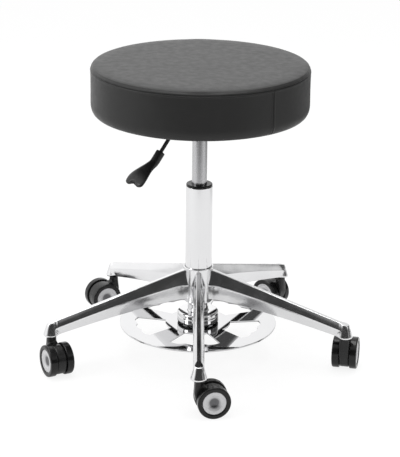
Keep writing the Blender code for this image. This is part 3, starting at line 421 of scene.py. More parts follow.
def arm_points():
    """One arm along +X as rows of edges by points along them, right half and left half. Under the arm a
    channel fades out before the socket, where the same rows become the bore for the caster's stem."""
    top_x, top_y = edge_plan(top_half, top_tip, arm_fillet)
    crease_x, crease_y = edge_plan(crease_half, crease_tip, crease_fillet)
    foot_x, foot_y = edge_plan(foot_half, socket_rim, arm_fillet)
    run = root_points + run_points
    run_x, run_y = foot_x[:run], foot_y[:run]
    bore = np.linspace(math.pi, 0, len(foot_x) - run - 1)
    bore_x, bore_y = base_radius + stem_bore * np.cos(bore), stem_bore * np.sin(bore)
    inner_x = np.concatenate([run_x, bore_x[:1], bore_x])
    inner_y = np.concatenate([run_y - arm_wall, [0], bore_y])
    fading = ease(run_x, base_radius - channel_fade, base_radius - channel_end)
    roof = foot_height(run_x) + channel_depth * (1 - fading)
    roof_z = np.concatenate([roof, [socket_bottom], np.full(len(bore), stem_bore_top)])
    roof_y = np.concatenate([run_y - roof_wall, [0], bore_y])
    spine_x = np.concatenate([run_x, bore_x[:1], np.full(len(bore), base_radius)])
    ridge_x = np.minimum(top_x, base_radius)
    top = np.stack([top_x, top_y, top_height(top_x)], -1)
    crease_z = edge_height(crease_x, arm_crease, crease_low, crease_fall)
    crease = np.stack([crease_x, crease_y, crease_z], -1)
    foot = np.stack([foot_x, foot_y, foot_height(foot_x)], -1)
    crown = np.stack([0 * crease_x, np.minimum(crease_y, crease_half) / crease_half, 0 * crease_x], -1)
    right = np.array([
        np.stack([ridge_x, 0 * ridge_x, top_height(ridge_x)], -1),
        top,
        (top + crease) / 2 + upper_bulge * crown,
        crease,
        (crease + foot) / 2 + lower_bulge * crown,
        foot,
        np.stack([inner_x, inner_y, foot_height(inner_x)], -1),
        np.stack([inner_x, roof_y, roof_z], -1),
        np.stack([spine_x, 0 * spine_x, roof_z], -1),
    ])
    soft = np.array([0, edge_soft, flank_soft, crease_soft, flank_soft, edge_soft, 0, 0, 0])
    radii = np.repeat(soft[:, None], right.shape[1], 1)
    radii[5] += lip_soft * ease(foot_x, base_radius - lip_start, base_radius - lip_full)
    corner_rows = 6
    right = rounded(right, radii, corner_rows - 1)
    left = right[:, ::-1][:, 1:] * (1, -1, 1)
    points = np.concatenate([right, left], 1)
    skip = np.zeros((points.shape[0] - 1, points.shape[1] - 1), bool)
    skip[-2 * corner_rows:, [run, -run - 1]] = True
    coats = np.zeros(skip.shape, int)
    # The underside rows take coat 1, the raw cast finish darkened with painted shade.
    coats[-3 * corner_rows:] = 1
    return points, skip, coats


aluminium = finish("polished_casting", (0.74, 0.74, 0.75), 0.16, 1.0)
sway(aluminium, pattern(aluminium, 0.035), "Roughness", 0.11, 0.21)
tint(aluminium, pattern(aluminium, 0.09), (0.69, 0.69, 0.70), (0.79, 0.79, 0.795))
relief(aluminium, pattern(aluminium, 0.020), 0.00012)
relief(aluminium, pattern(aluminium, 0.0008), 0.000008)
# The hollow underside is raw casting. Its dark grey is partly the rough unpolished metal and partly painted
# shade for the shadowed channels and the dark reflections they give.
raw_cast_painted_shade = finish("raw_cast_underside_painted_shade", (0.07, 0.07, 0.072), 0.6, 0.3)
tint(raw_cast_painted_shade, pattern(raw_cast_painted_shade, 0.02), (0.05, 0.05, 0.052), (0.09, 0.09, 0.092))
sway(raw_cast_painted_shade, pattern(raw_cast_painted_shade, 0.008), "Roughness", 0.5, 0.7)
relief(raw_cast_painted_shade, pattern(raw_cast_painted_shade, 0.0015), 0.0002)

arm_grid, arm_skip, arm_coats = arm_points()
hub_profile = rounded(
    ((hub_bore, hub_top), (hub_radius, hub_top), (hub_foot, hub_bottom), (hub_bore_foot, hub_bottom)),
    (0.0008, 0.0016, 0.0016, 0.0008), closed=True,
)
base_skins = [skin(turned(hub_profile, 128), (True, True))]
for arm in range(arm_count):
    turn = turn_about_z(front_arm + 2 * math.pi * arm / arm_count)
    base_skins.append(skin(arm_grid @ turn.T, (False, False), "columns", arm_skip, arm_coats))
piece("base_casting", base_skins, [aluminium, raw_cast_painted_shade], "base", "polished_aluminium", "base_star")


# The casters: a moulded hood of fine-grained black nylon on a steel stem, two glossy black tyres moulded on
# grey hubs, each hub a matt silver ring round a bowl whose middle is painted dark, standing in for shade and
# the dark reflection in the dish, and a plain steel axle.
casters = (
    ("front", 0, math.radians(11.6)),
    ("right_front", 1, math.radians(78.3)),
    ("right_back", 2, math.radians(138.4)),
    ("left_back", 3, math.radians(208.2)),
    ("left_front", 4, math.radians(297.7)),
)
trail, wheel_radius, wheel_offset = 0.0245, 0.0300, 0.0097
tyre_width, tyre_bore, tyre_lip, lip_radius = 0.0135, 0.0216, 0.0127, 0.0236
core_radius, core_face, core_back = 0.0213, 0.0120, 0.0015
bowl_radius, bowl_depth, painted_dark_radius, painted_dark_outer_radius = 0.0148, 0.0044, 0.0068, 0.0128
axle_hole, axle_end = 0.0033, 0.0071
hood_radius, hood_half, hood_edge = 0.0275, 0.0090, 0.0026
neck_radius, neck_top, neck_flare, neck_rise = 0.0080, 0.0685, 0.0006, 0.0036
heel_rise, round_start, round_full, round_margin, round_share = 0.0040, 0.046, 0.058, 0.0012, 0.97
disc_start, disc_end = math.radians(-145), math.radians(112)

tyre_black = finish("tyre_black", (0.008, 0.008, 0.008), 0.18, specular=0.3)
sway(tyre_black, pattern(tyre_black, 0.012), "Roughness", 0.13, 0.24)
tint(tyre_black, pattern(tyre_black, 0.02), (0.006, 0.006, 0.006), (0.011, 0.011, 0.0115))
relief(tyre_black, pattern(tyre_black, 0.004), 0.00003)

nylon = finish("hood_nylon", (0.010, 0.010, 0.010), 0.28, specular=0.35)
sway(nylon, pattern(nylon, 0.010), "Roughness", 0.23, 0.35)
tint(nylon, pattern(nylon, 0.015), (0.008, 0.008, 0.008), (0.013, 0.013, 0.0135))
relief(nylon, pattern(nylon, 0.0006), 0.00003)

silver = finish("hub_silver_with_painted_shade", (0.62, 0.62, 0.63), 0.35, 0.6)
# Painted shade and reflection: the bowl's middle is painted dark grey, standing in for the shade in the dish
# and the dark room it mirrors.
painted_dark_middle = node(silver.node_tree, "ShaderNodeAttribute", attribute_name="painted_dark_middle").outputs["Fac"]
tint(silver, painted_dark_middle, (0.62, 0.62, 0.63), (0.12, 0.12, 0.125))
sway(silver, painted_dark_middle, "Roughness", 0.38, 0.24, (0, 1))
sway(silver, painted_dark_middle, "Metallic", 0.45, 0.9, (0, 1))
relief(silver, pattern(silver, 0.0007), 0.000015)

bright_steel = finish("bright_steel", (0.62, 0.63, 0.64), 0.22, 1.0)
sway(bright_steel, pattern(bright_steel, 0.003), "Roughness", 0.16, 0.32)
tint(bright_steel, pattern(bright_steel, 0.012), (0.56, 0.57, 0.58), (0.66, 0.67, 0.68))
relief(bright_steel, pattern(bright_steel, 0.0005, (1, 1, 6)), 0.00001)


def dress(material, *nodes):
    """Puts a finish on CAD nodes that keep their own shape."""
    for name in nodes:
        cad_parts[name].material_slots[0].material = material


def hood_points():
    """A caster's hood, its stem at the origin and its trail along +X. Its side view, a disc round the axle
    that runs up into the neck, is carried across the hood and drawn in by e(1 - sin t) over a quarter turn
    at both edges. The neck is drawn in toward the stem by sqrt(1 - u^2), u the way across, so it is round."""
    arc = np.linspace(disc_start, disc_end, 60)
    disc = np.stack([trail + hood_radius * np.cos(arc), wheel_radius + hood_radius * np.sin(arc)], -1)
    shoulder, steps = disc[-1], 5
    neck = rounded(
        (shoulder, (neck_radius + neck_flare, shoulder[1] + neck_rise), (neck_radius, neck_top),
         (-neck_radius, neck_top), (-neck_radius, wheel_radius + heel_rise), disc[0]),
        (0, 0.0060, 0.0012, 0.0012, 0.0100, 0), steps,
    )
    outline = np.concatenate([disc, neck[steps + 1:-steps - 1]])
    along = np.roll(outline, -1, 0) - np.roll(outline, 1, 0)
    along /= np.linalg.norm(along, axis=1, keepdims=True)
    inward = np.stack([-along[:, 1], along[:, 0]], -1)
    quarter = np.linspace(0, math.pi / 2, 6)
    inset = hood_edge * (1 - np.sin(quarter))
    across = hood_half - hood_edge * (1 - np.cos(quarter))
    between = across[-1] * np.linspace(1, -1, 10)[1:-1]
    inset = np.concatenate([inset, 0 * between, inset[::-1]])
    across = np.concatenate([across, between, -across[::-1]])
    side = outline + inset[:, None, None] * inward
    near_stem = 1 - ease(outline[:, 0], neck_radius + round_margin, shoulder[0])
    near_neck = ease(outline[:, 1], round_start, round_full) * near_stem
    roundness = np.sqrt(1 - (round_share * across / hood_half) ** 2)
    side[..., 0] *= 1 - near_neck * (1 - roundness[:, None])
    return np.stack([side[..., 0], across[:, None] + 0 * side[..., 0], side[..., 1]], -1)


tyre_profile = rounded(
    ((tyre_bore, tyre_lip), (lip_radius, tyre_width), (wheel_radius, tyre_width), (wheel_radius, 0),
     (tyre_bore, 0)),
    (0.0003, 0.0010, 0.0058, 0.0016, 0.0003), 6, True,
)
bowl = np.linspace(0, 1, 13)
bowl_curve = np.stack([bowl_radius * bowl, core_face - bowl_depth * (1 - bowl**2)], -1)
core_profile = np.concatenate([
    bowl_curve[:-2],
    rounded(
        (bowl_curve[-2], bowl_curve[-1], (core_radius, core_face), (core_radius, core_back),
         (axle_hole, core_back), (axle_hole, axle_end), (0, axle_end)),
        (0, 0.0012, 0.0006, 0.0004, 0.0002, 0.0002, 0),
    ),
])
hood_grid = hood_points()
for name, arm, yaw in casters:
    bearing = front_arm + 2 * math.pi * arm / arm_count
    stem = base_radius * np.array([math.cos(bearing), math.sin(bearing), 0])
    turn = turn_about_z(yaw)
    caster = f"caster_{name}"
    hood_skin = skin(hood_grid @ turn.T + stem, (False, True), "rows")
    piece(f"hood_{name}", [hood_skin], [nylon], caster, "black_plastic", f"{caster}_hood")
    dress(bright_steel, f"{caster}_stem", f"{caster}_axle")
    for side, across in (("left", 1), ("right", -1)):
        body = f"wheel_{name}_{side}"
        axle = np.array([trail, across * wheel_offset, wheel_radius])
        upright = np.array([[1, 0, 0], [0, 0, across], [0, 1, 0]])
        tyre = skin((turned(tyre_profile, 96) @ upright.T + axle) @ turn.T + stem, (True, True))
        piece(f"tyre_{name}_{side}", [tyre], [tyre_black], body, "tread", f"{caster}_tyre_{side}")
        core = skin((turned(core_profile, 72) @ upright.T + axle) @ turn.T + stem, (False, True))
        core_node = f"{caster}_core_{side}"
        hub = piece(f"wheel_hub_{name}_{side}", [core], [silver], body, "silver_plastic", core_node)
        spots = np.empty(len(hub.data.vertices) * 3, np.float32)
        hub.data.vertices.foreach_get("co", spots)
        local = (spots.reshape(-1, 3) - stem) @ turn - axle
        # Painted shade: this share is 1 in the bowl's middle and falls to 0 at the outer radius. It marks
        # where the dark is painted.
        inner = 1 - ease(np.hypot(local[:, 0], local[:, 2]), painted_dark_radius, painted_dark_outer_radius)
        shade = hub.data.attributes.new("painted_dark_middle", "FLOAT", "POINT")
        shade.data.foreach_set("value", inner.astype(np.float32))


# The column: a chromed steel tube pressed into the hub's taper, a black guide bush snapped into its top, and
# the gas cylinder in satin grey that slides in it, with its steel rod, bearing and clip hidden inside.
chrome = finish("chrome_plate", (0.72, 0.72, 0.73), 0.06, 1.0)
sway(chrome, pattern(chrome, 0.030), "Roughness", 0.035, 0.085)
tint(chrome, pattern(chrome, 0.08), (0.69, 0.69, 0.70), (0.75, 0.75, 0.755))
relief(chrome, pattern(chrome, 0.004), 0.000006)

satin_grey = finish("cylinder_satin", (0.50, 0.50, 0.51), 0.24, 0.95)
sway(satin_grey, pattern(satin_grey, 0.002, (1, 1, 30)), "Roughness", 0.20, 0.30)
tint(satin_grey, pattern(satin_grey, 0.02), (0.47, 0.47, 0.48), (0.53, 0.53, 0.54))
relief(satin_grey, pattern(satin_grey, 0.0006, (1, 1, 40)), 0.000008)

gloss_black = finish("bush_black", (0.009, 0.009, 0.009), 0.14, specular=0.25)
sway(gloss_black, pattern(gloss_black, 0.006), "Roughness", 0.10, 0.20)
tint(gloss_black, pattern(gloss_black, 0.01), (0.007, 0.007, 0.007), (0.012, 0.012, 0.0125))
relief(gloss_black, pattern(gloss_black, 0.002), 0.000015)

tube_top, tube_radius, tube_wall = 0.3340, 0.0250, 0.0015
tube_foot, foot_radius, floor_top, rod_hole = 0.1105, 0.0220, 0.1135, 0.0043
tube_profile = rounded(
    ((tube_radius - tube_wall, tube_top), (tube_radius, tube_top), (tube_radius, hub_top),
     (foot_radius, tube_foot), (rod_hole, tube_foot), (rod_hole, floor_top),
     (foot_radius - tube_wall, floor_top), (tube_radius - tube_wall, hub_top)),
    (0.0004, 0.0006, 0, 0.0008, 0.0003, 0.0003, 0.0004, 0), closed=True,
)
tube_skin = skin(turned(tube_profile, 128), (True, True))
piece("column_chrome_tube", [tube_skin], [chrome], "base", "chrome", "column_tube")

bush_bore, bush_radius, bush_foot = 0.0143, 0.0232, 0.2740
collar_radius, collar_top, collar_foot = 0.0244, 0.3385, 0.3343
bush_profile = rounded(
    ((bush_bore, collar_top), (collar_radius, collar_top), (collar_radius, collar_foot),
     (bush_radius, collar_foot), (bush_radius, bush_foot), (bush_bore, bush_foot)),
    (0.0012, 0.0026, 0.0004, 0.0002, 0.0006, 0.0006), 6, True,
)
bush_skin = skin(turned(bush_profile, 128), (True, True))
piece("guide_bush_black", [bush_skin], [gloss_black], "base", "black_plastic", "guide_bush")

cylinder_top, cone_foot, cylinder_foot = 0.4484, 0.4255, 0.1998
cone_radius, cylinder_radius, cylinder_bore = 0.0130, 0.0140, 0.0125
pin_hole, piston_hole, bore_top, bore_foot = 0.0033, 0.0053, 0.4244, 0.2098
cylinder_profile = rounded(
    ((pin_hole, cylinder_top), (cone_radius, cylinder_top), (cylinder_radius, cone_foot),
     (cylinder_radius, cylinder_foot), (piston_hole, cylinder_foot), (piston_hole, bore_foot),
     (cylinder_bore, bore_foot), (cylinder_bore, bore_top), (pin_hole, bore_top)),
    (0.0003, 0.0008, 0, 0.0015, 0.0003, 0.0003, 0.0005, 0.0005, 0.0003), closed=True,
)
cylinder_skin = skin(turned(cylinder_profile, 96), (True, True))
piece("gas_cylinder_satin", [cylinder_skin], [satin_grey], "seat", "grey_steel", "gas_cylinder")
dress(chrome, "piston_rod")
dress(bright_steel, "thrust_bearing", "rod_clip")


# The foot release: a chromed housing clamped under the hub, a black rubber ring under it for the plate to
# stop against, and a polished steel plate with five windows, hung on a ring with crossed pins over the
# tappet.
rubber = finish("buffer_rubber", (0.018, 0.018, 0.018), 0.55)
sway(rubber, pattern(rubber, 0.006), "Roughness", 0.48, 0.65)
tint(rubber, pattern(rubber, 0.01), (0.014, 0.014, 0.014), (0.024, 0.024, 0.024))
relief(rubber, pattern(rubber, 0.0008), 0.00003)

housing_head, housing_top, housing_bottom = 0.1102, 0.0880, 0.0695
housing_radius, housing_neck, housing_bore, bore_floor = 0.0385, 0.0190, 0.0100, 0.0905
cup_radius, cup_top, tappet_hole = 0.0350, 0.0840, 0.0023
groove, groove_depth = (housing_top + housing_bottom) / 2, 0.0011
housing_profile = rounded(
    ((housing_bore, housing_head), (housing_neck, housing_head), (housing_neck, housing_top),
     (housing_radius, housing_top), (housing_radius, groove + groove_depth),
     (housing_radius - groove_depth, groove), (housing_radius, groove - groove_depth),
     (housing_radius, housing_bottom), (cup_radius, housing_bottom), (cup_radius, cup_top),
     (tappet_hole, cup_top), (tappet_hole, bore_floor), (housing_bore, bore_floor)),
    (0.0004, 0.0008, 0.0024, 0.0045, 0.0004, 0.0003, 0.0004, 0.0010, 0.0004, 0.0004, 0.0002, 0.0002, 0.0004),
    closed=True,
)
housing_skin = skin(turned(housing_profile, 128), (True, True))
piece("release_housing_chrome", [housing_skin], [chrome], "base", "chrome", "release_housing")

buffer_bore, buffer_top, buffer_foot = 0.0320, 0.0692, 0.0672
buffer_profile = rounded(
    ((buffer_bore, buffer_top), (housing_radius, buffer_top), (housing_radius, buffer_foot),
     (buffer_bore, buffer_foot)),
    (0.0006, 0.0008, 0.0008, 0.0006), closed=True,
)
buffer_skin = skin(turned(buffer_profile, 128), (True, True))
piece("buffer_rubber_ring", [buffer_skin], [rubber], "base", "rubber", "buffer_ring")

plate_top, plate_bottom, plate_radius, plate_edge = 0.0640, 0.0610, 0.1476, 0.0007
plate_core = 0.0300
window_count, first_window = 5, math.radians(-92.9)
window_in, window_out, scallop_rise = 0.0605, 0.1150, 0.0048
inner_half, outer_half = math.radians(21.0), math.radians(24.5)


def polar(radius, angle):
    """Points of the plan at radii and angles: (r cos a, r sin a)."""
    return np.stack([radius * np.cos(angle), radius * np.sin(angle)], -1)


def sector_loop(inner, inner_turn, outer, outer_turn, counts):
    """A loop in the plan: out along the inner arc, up a straight flank, back along the outer arc, whose
    radius may vary, and down the other flank. Each side leaves its last point to the next."""
    inner_way, flank_way, outer_way = (np.arange(count) / count for count in counts)
    first, second = polar(inner, inner_turn), polar(outer[0], outer_turn)
    mirror = np.array([1, -1])
    rise = flank_way[:, None] * (second - first)
    return np.concatenate([
        polar(inner, inner_turn * (2 * inner_way - 1)),
        first + rise,
        polar(outer, outer_turn * (1 - 2 * outer_way)),
        (second - rise) * mirror,
    ])


def plate_skins():
    """The foot plate as five sectors and a core. In a sector, faces run from the window's outline to the
    sector's border; the window has a round inner side, straight flanks and an outer side of r + d|sin 3a|.
    Edges are rounded by carrying the outline in by e(1 - sin t) and down by e(1 - cos t)."""
    counts = inner_count, flank_count, outer_count = 16, 14, 60
    sector_half, rim = math.pi / window_count, plate_radius - plate_edge
    scallop = window_out + scallop_rise * np.abs(np.sin(3 * math.pi * np.arange(outer_count) / outer_count))
    window = sector_loop(window_in, inner_half, scallop, outer_half, counts)
    border = sector_loop(plate_core, sector_half, np.full(outer_count, rim), sector_half, counts)
    along = np.roll(window, -1, 0) - np.roll(window, 1, 0)
    along /= np.linalg.norm(along, axis=1, keepdims=True)
    metal = np.stack([along[:, 1], -along[:, 0]], -1)
    quarter = np.linspace(0, math.pi / 2, 4)
    inset, drop = plate_edge * (1 - np.sin(quarter)), plate_edge * (1 - np.cos(quarter))
    flat = np.concatenate([border[None], window + inset[:, None, None] * metal])
    level = np.concatenate([[plate_top], plate_top - drop])
    rows = np.concatenate([flat, flat[::-1]])
    heights = np.concatenate([level, plate_top + plate_bottom - level[::-1]])
    sector = np.concatenate([rows, np.broadcast_to(heights[:, None, None], rows.shape[:2] + (1,))], -1)
    skins = []
    for place in range(window_count):
        turn = turn_about_z(first_window + 2 * math.pi * place / window_count)
        skins.append(skin(sector @ turn.T, (False, True)))
    start = turn_about_z(first_window - sector_half)
    upper = np.stack([rim + plate_edge * np.sin(quarter), plate_top - drop], -1)
    lower = (upper * (1, -1) + (0, plate_top + plate_bottom))[::-1]
    edge = turned(np.concatenate([upper, lower]), outer_count * window_count)
    skins.append(skin(edge @ start.T, (False, True)))
    for height in (plate_top, plate_bottom):
        core = turned(((0, height), (plate_core, height)), inner_count * window_count)
        skins.append(skin(core @ start.T, (False, True)))
    return skins


plate_steel = finish("plate_polish", (0.66, 0.66, 0.67), 0.05, 1.0)
sway(plate_steel, pattern(plate_steel, 0.04), "Roughness", 0.03, 0.07)
tint(plate_steel, pattern(plate_steel, 0.07), (0.64, 0.64, 0.65), (0.68, 0.68, 0.685))
relief(plate_steel, pattern(plate_steel, 0.03), 0.00002)
piece("foot_plate_polished", plate_skins(), [plate_steel], "pedal", "chrome", "foot_plate", sharp=8)
dress(bright_steel, "tilt_ring", "plate_collar", "foot_tappet")


# The seat's carrier: a plywood board stained black, a pressed steel plate screwed under it with four screws,
# and a folded bracket with the cone socket welded on, both powder coated black.
powder_black = finish("powder_black", (0.020, 0.020, 0.021), 0.48)
sway(powder_black, pattern(powder_black, 0.008), "Roughness", 0.42, 0.56)
tint(powder_black, pattern(powder_black, 0.012), (0.016, 0.016, 0.017), (0.026, 0.026, 0.027))
relief(powder_black, pattern(powder_black, 0.0012), 0.00004)
plywood = finish("stained_plywood", (0.020, 0.019, 0.018), 0.6)
tint(plywood, pattern(plywood, 0.004, (14, 1, 1)), (0.014, 0.013, 0.012), (0.030, 0.027, 0.025))
sway(plywood, pattern(plywood, 0.003, (10, 1, 1)), "Roughness", 0.5, 0.7)
relief(plywood, pattern(plywood, 0.0008, (20, 1, 1)), 0.0001)
dress(plywood, "seat_board")
dress(powder_black, "seat_plate", "lever_bracket")
dress(bright_steel, "lever_pivot_pin", "release_pin", *(f"seat_screw_{number}" for number in (1, 2, 3, 4)))


# The hand lever: a black steel rod bent down under the seat, with a turned eye for its pivot, and a moulded
# fishtail handle of fine-grained black plastic pushed onto its end.
lever_turn, lever_height = math.radians(225), 0.4614
pivot_reach, bend_reach, bend_radius, lever_drop = 0.0300, 0.0580, 0.0200, math.radians(46)
rod_radius, rod_back, rod_tip = 0.0035, 0.005, 0.0010
eye_radius, eye_half, eye_bore = 0.0055, 0.0097, 0.0023
handle_start, handle_grip, handle_length, handle_tip = 0.0595, 0.0220, 0.0795, 0.0060
butt_edge, butt_radius, lobe_draw, oval_power = 0.0008, 0.0040, 0.0110, 2.4
notch_depth, notch_start, notch_end, notch_width, notch_shift = 0.0068, 0.056, 0.085, 0.0068, 0.0010
to_lever = turn_about_z(lever_turn)
lever_origin = np.array([0, 0, lever_height])


def rod_points():
    """The rod as a circle carried along its path in the lever's upright plane: straight, an arc,
    straight. At both ends the rows of a quarter turn stand in reverse order, so the skin folds over itself
    by the tip's length there, inside the bracket and inside the handle."""
    cos, sin = math.cos(lever_drop), math.sin(lever_drop)
    tangent = bend_radius * math.tan(lever_drop / 2)
    sweep = np.linspace(0, lever_drop, 17)
    bend_x = bend_reach - tangent + bend_radius * np.sin(sweep)
    bend_z = bend_radius * (np.cos(sweep) - 1)
    straight = np.linspace(-rod_back, bend_reach - tangent, 12)[:-1]
    far = np.linspace(tangent, handle_start + handle_grip, 12)[1:]
    x = np.concatenate([straight, bend_x, bend_reach + far * cos])
    z = np.concatenate([0 * straight, bend_z, -far * sin])
    slope = np.concatenate([0 * straight, sweep, 0 * far + lever_drop])
    quarter = np.linspace(0, math.pi / 2, 5)
    shift = rod_tip * (1 - np.sin(quarter))
    taper = rod_radius + rod_tip * (np.cos(quarter) - 1)
    x = np.concatenate([x[:1], x[0] + shift, x[1:-1], x[-1] - shift[::-1] * cos, x[-1:]])
    z = np.concatenate([[0], 0 * shift, z[1:-1], z[-1] + shift[::-1] * sin, z[-1:]])
    slope = np.concatenate([[0], 0 * quarter, slope[1:-1], 0 * quarter + lever_drop, [lever_drop]])
    full = np.full(len(x) - 2 * len(quarter) - 2, rod_radius)
    size = np.concatenate([[0], taper, full, taper[::-1], [0]])
    angle = np.linspace(0, 2 * math.pi, 24, endpoint=False)
    rise, side = size[:, None] * np.cos(angle), size[:, None] * np.sin(angle)
    slope = slope[:, None]
    return np.stack([x[:, None] + rise * np.sin(slope), side, z[:, None] + rise * np.cos(slope)], -1)


def handle_points():
    """The handle as oval sections, |y/w|^p + |z/h|^p = 1, on a centre line. Width, thickness and the line's
    slope follow a smoothed table, and near the end a Gauss-shaped notch pulls the middle back between two
    lobes."""
    way_width_thickness_slope = np.array((
        (0.000, 0.0080, 0.0080, 0), (0.020, 0.0080, 0.0078, 0), (0.028, 0.0088, 0.0070, 26),
        (0.040, 0.0122, 0.0060, 25), (0.052, 0.0170, 0.0053, 20), (0.063, 0.0210, 0.0050, 12),
        (0.072, 0.0224, 0.0049, 4), (0.080, 0.0216, 0.0047, -2), (0.083, 0.0205, 0.0045, -4),
    ))
    way, *columns = way_width_thickness_slope.T
    run = np.linspace(0, handle_length + handle_tip, 66)
    sizes = np.stack([np.interp(run, way, column) for column in columns])
    for smoothing in range(8):
        sizes[:, 1:-1] = (sizes[:, :-2] + 2 * sizes[:, 1:-1] + sizes[:, 2:]) / 4
    slope = np.radians(sizes[2])
    between = (slope[1:] + slope[:-1]) / 2
    line_x = np.concatenate([[0], run[1] * np.cumsum(np.cos(between))])
    line_z = np.concatenate([[0], run[1] * np.cumsum(np.sin(between))])
    quarter = np.linspace(0, math.pi / 2, 7)
    body = run[(run > 0.002) & (run < handle_length)]
    butt, end = butt_edge * (1 - np.cos(quarter)), handle_length + handle_tip * np.sin(quarter)
    along = np.concatenate([[0], butt, body, end])
    width, thick = (np.interp(along, run, size) for size in sizes[:2])
    first, last = slice(1, 1 + len(quarter)), slice(-len(quarter), None)
    width[0] = thick[0] = butt_radius
    width[first] -= butt_edge * (1 - np.sin(quarter))
    thick[first] -= butt_edge * (1 - np.sin(quarter))
    width[last] -= lobe_draw * (1 - np.cos(quarter))
    thick[last] *= np.maximum(np.cos(quarter), 0.05)
    angle = np.linspace(0, 2 * math.pi, 64, endpoint=False)
    power = 2 / oval_power
    y = width[:, None] * np.sign(np.cos(angle)) * np.abs(np.cos(angle)) ** power
    rise = thick[:, None] * np.sign(np.sin(angle)) * np.abs(np.sin(angle)) ** power
    along = along[:, None]
    notch = notch_depth * ease(along, notch_start, notch_end)
    place = along - notch * np.exp(-(((y + notch_shift) / notch_width) ** 2))
    lift = np.interp(place, run, slope)
    x = np.interp(place, run, line_x) - rise * np.sin(lift)
    z = np.interp(place, run, line_z) + rise * np.cos(lift)
    cos, sin = math.cos(lever_drop), math.sin(lever_drop)
    spot_x, spot_z = bend_reach + handle_start * cos, -handle_start * sin
    return np.stack([spot_x + x * cos + z * sin, y, spot_z - x * sin + z * cos], -1)


eye_profile = rounded(
    ((eye_bore, eye_half), (eye_radius, eye_half), (eye_radius, -eye_half), (eye_bore, -eye_half)),
    (0.0003, 0.0008, 0.0008, 0.0003), closed=True,
)
rod_skin = skin(rod_points() @ to_lever.T + lever_origin, (False, True))
eye = turned(eye_profile, 48) @ np.array([[1, 0, 0], [0, 0, 1], [0, 1, 0]]) + (pivot_reach, 0, 0)
eye_skin = skin(eye @ to_lever.T + lever_origin, (True, True))
piece("lever_rod_bent", [rod_skin, eye_skin], [powder_black], "lever", "black_steel", "lever_rod")

handle_black = finish("handle_black", (0.012, 0.012, 0.0125), 0.36, specular=0.4)
sway(handle_black, pattern(handle_black, 0.008), "Roughness", 0.30, 0.44)
tint(handle_black, pattern(handle_black, 0.012), (0.009, 0.009, 0.009), (0.016, 0.016, 0.0165))
relief(handle_black, pattern(handle_black, 0.0007), 0.00003)
handle_skin = skin(handle_points() @ to_lever.T + lever_origin, (False, True), "rows")
piece("lever_handle_fishtail", [handle_skin], [handle_black], "lever", "black_plastic", "lever_handle")


# The cushion: foam on the board under dark grey leatherette, a round top panel turned over the edge and sewn
# to a band, with one upright seam where the band's ends meet, drawn under the board and stapled.
seat_top, seat_bottom, seat_radius = 0.5660, 0.4750, 0.2000
seat_crown, seat_roll, seat_draw, roll_power = 0.0004, 0.0064, 0.0004, 1.45
flat_middle, crown_points = 0.070, 60
foot_roll_in, foot_roll_up = 0.0110, 0.0180
recess_radius, recess_top = 0.1843, 0.4883
seam_height, seam_angle = 0.5582, math.radians(-50.3)
groove_width, lip_place, lip_width = 0.0009, 0.0026, 0.0018
ring_depth, upright_depth, seam_lip = 0.0010, 0.0008, 0.0005
pucker_height, pucker_reach = 0.00022, 0.010
crown_loss, swell_cap, voxel, pressure, cloth_frames = 0.0006, 0.0008, 0.005, 4, 20
held_edge, held_seam, held_foot = 0.010, 0.0026, 0.006


def seat_profile(flatter):
    """Half outline of the pad as (radius, height): a flat middle, a crown that drops with the square of the
    way from there to the edge, a soft slope over it, |x|^p + |z|^p = r^p, a side drawn in by 4d t(1-t), and
    a taller quarter oval under. flatter lowers the crown."""
    drop = seat_crown - flatter
    flat = np.linspace(0, seat_radius - seat_roll, crown_points)
    share = np.clip((flat - flat_middle) / (seat_radius - seat_roll - flat_middle), 0, 1)
    crown = np.stack([flat, seat_top - flatter - drop * share**2], -1)
    quarter = np.linspace(math.pi / 2, 0, 14)[1:]
    high = seat_top - seat_crown - seat_roll
    edge_x = np.clip(np.cos(quarter), 0, 1) ** (2 / roll_power)
    edge_z = np.sin(quarter) ** (2 / roll_power)
    over = np.stack([seat_radius + seat_roll * (edge_x - 1), high + seat_roll * edge_z], -1)
    t = np.linspace(0, 1, 40)[1:]
    low = seat_bottom + foot_roll_up
    side = np.stack([seat_radius - seat_draw * 4 * t * (1 - t), high + (low - high) * t], -1)
    turn = np.linspace(0, math.pi / 2, 18)[1:]
    under_x = seat_radius + foot_roll_in * (np.cos(turn) - 1)
    under = np.stack([under_x, low - foot_roll_up * np.sin(turn)], -1)
    return np.concatenate([crown, over, side, under])


def cushion_grid():
    """The cushion's skin: the outline sampled by its length, close together at the seam, and carried round by
    angles that crowd at the upright seam. Returns the grid, the distance along the outline, where the seam is
    on it, and the angles."""
    outline = seat_profile(0)
    length = np.concatenate([[0], np.cumsum(np.linalg.norm(np.diff(outline, axis=0), axis=1))])
    seam = np.interp(-seam_height, -outline[crown_points:, 1], length[crown_points:])
    near_seam = seam + np.arange(-0.008, 0.008, 0.0005)
    samples = np.concatenate([np.arange(0, length[-1], 0.0040), near_seam, length[-1:]])
    samples = np.unique(np.round(samples, 5))
    profile = np.stack([np.interp(samples, length, outline[:, i]) for i in (0, 1)], -1)
    near_upright = seam_angle + np.arange(-0.035, 0.035, 0.0022)
    angle = np.concatenate([np.linspace(-math.pi, math.pi, 300, endpoint=False), near_upright])
    angle = np.unique(np.round(angle, 4))
    return carried_round(profile, angle), samples, seam, angle


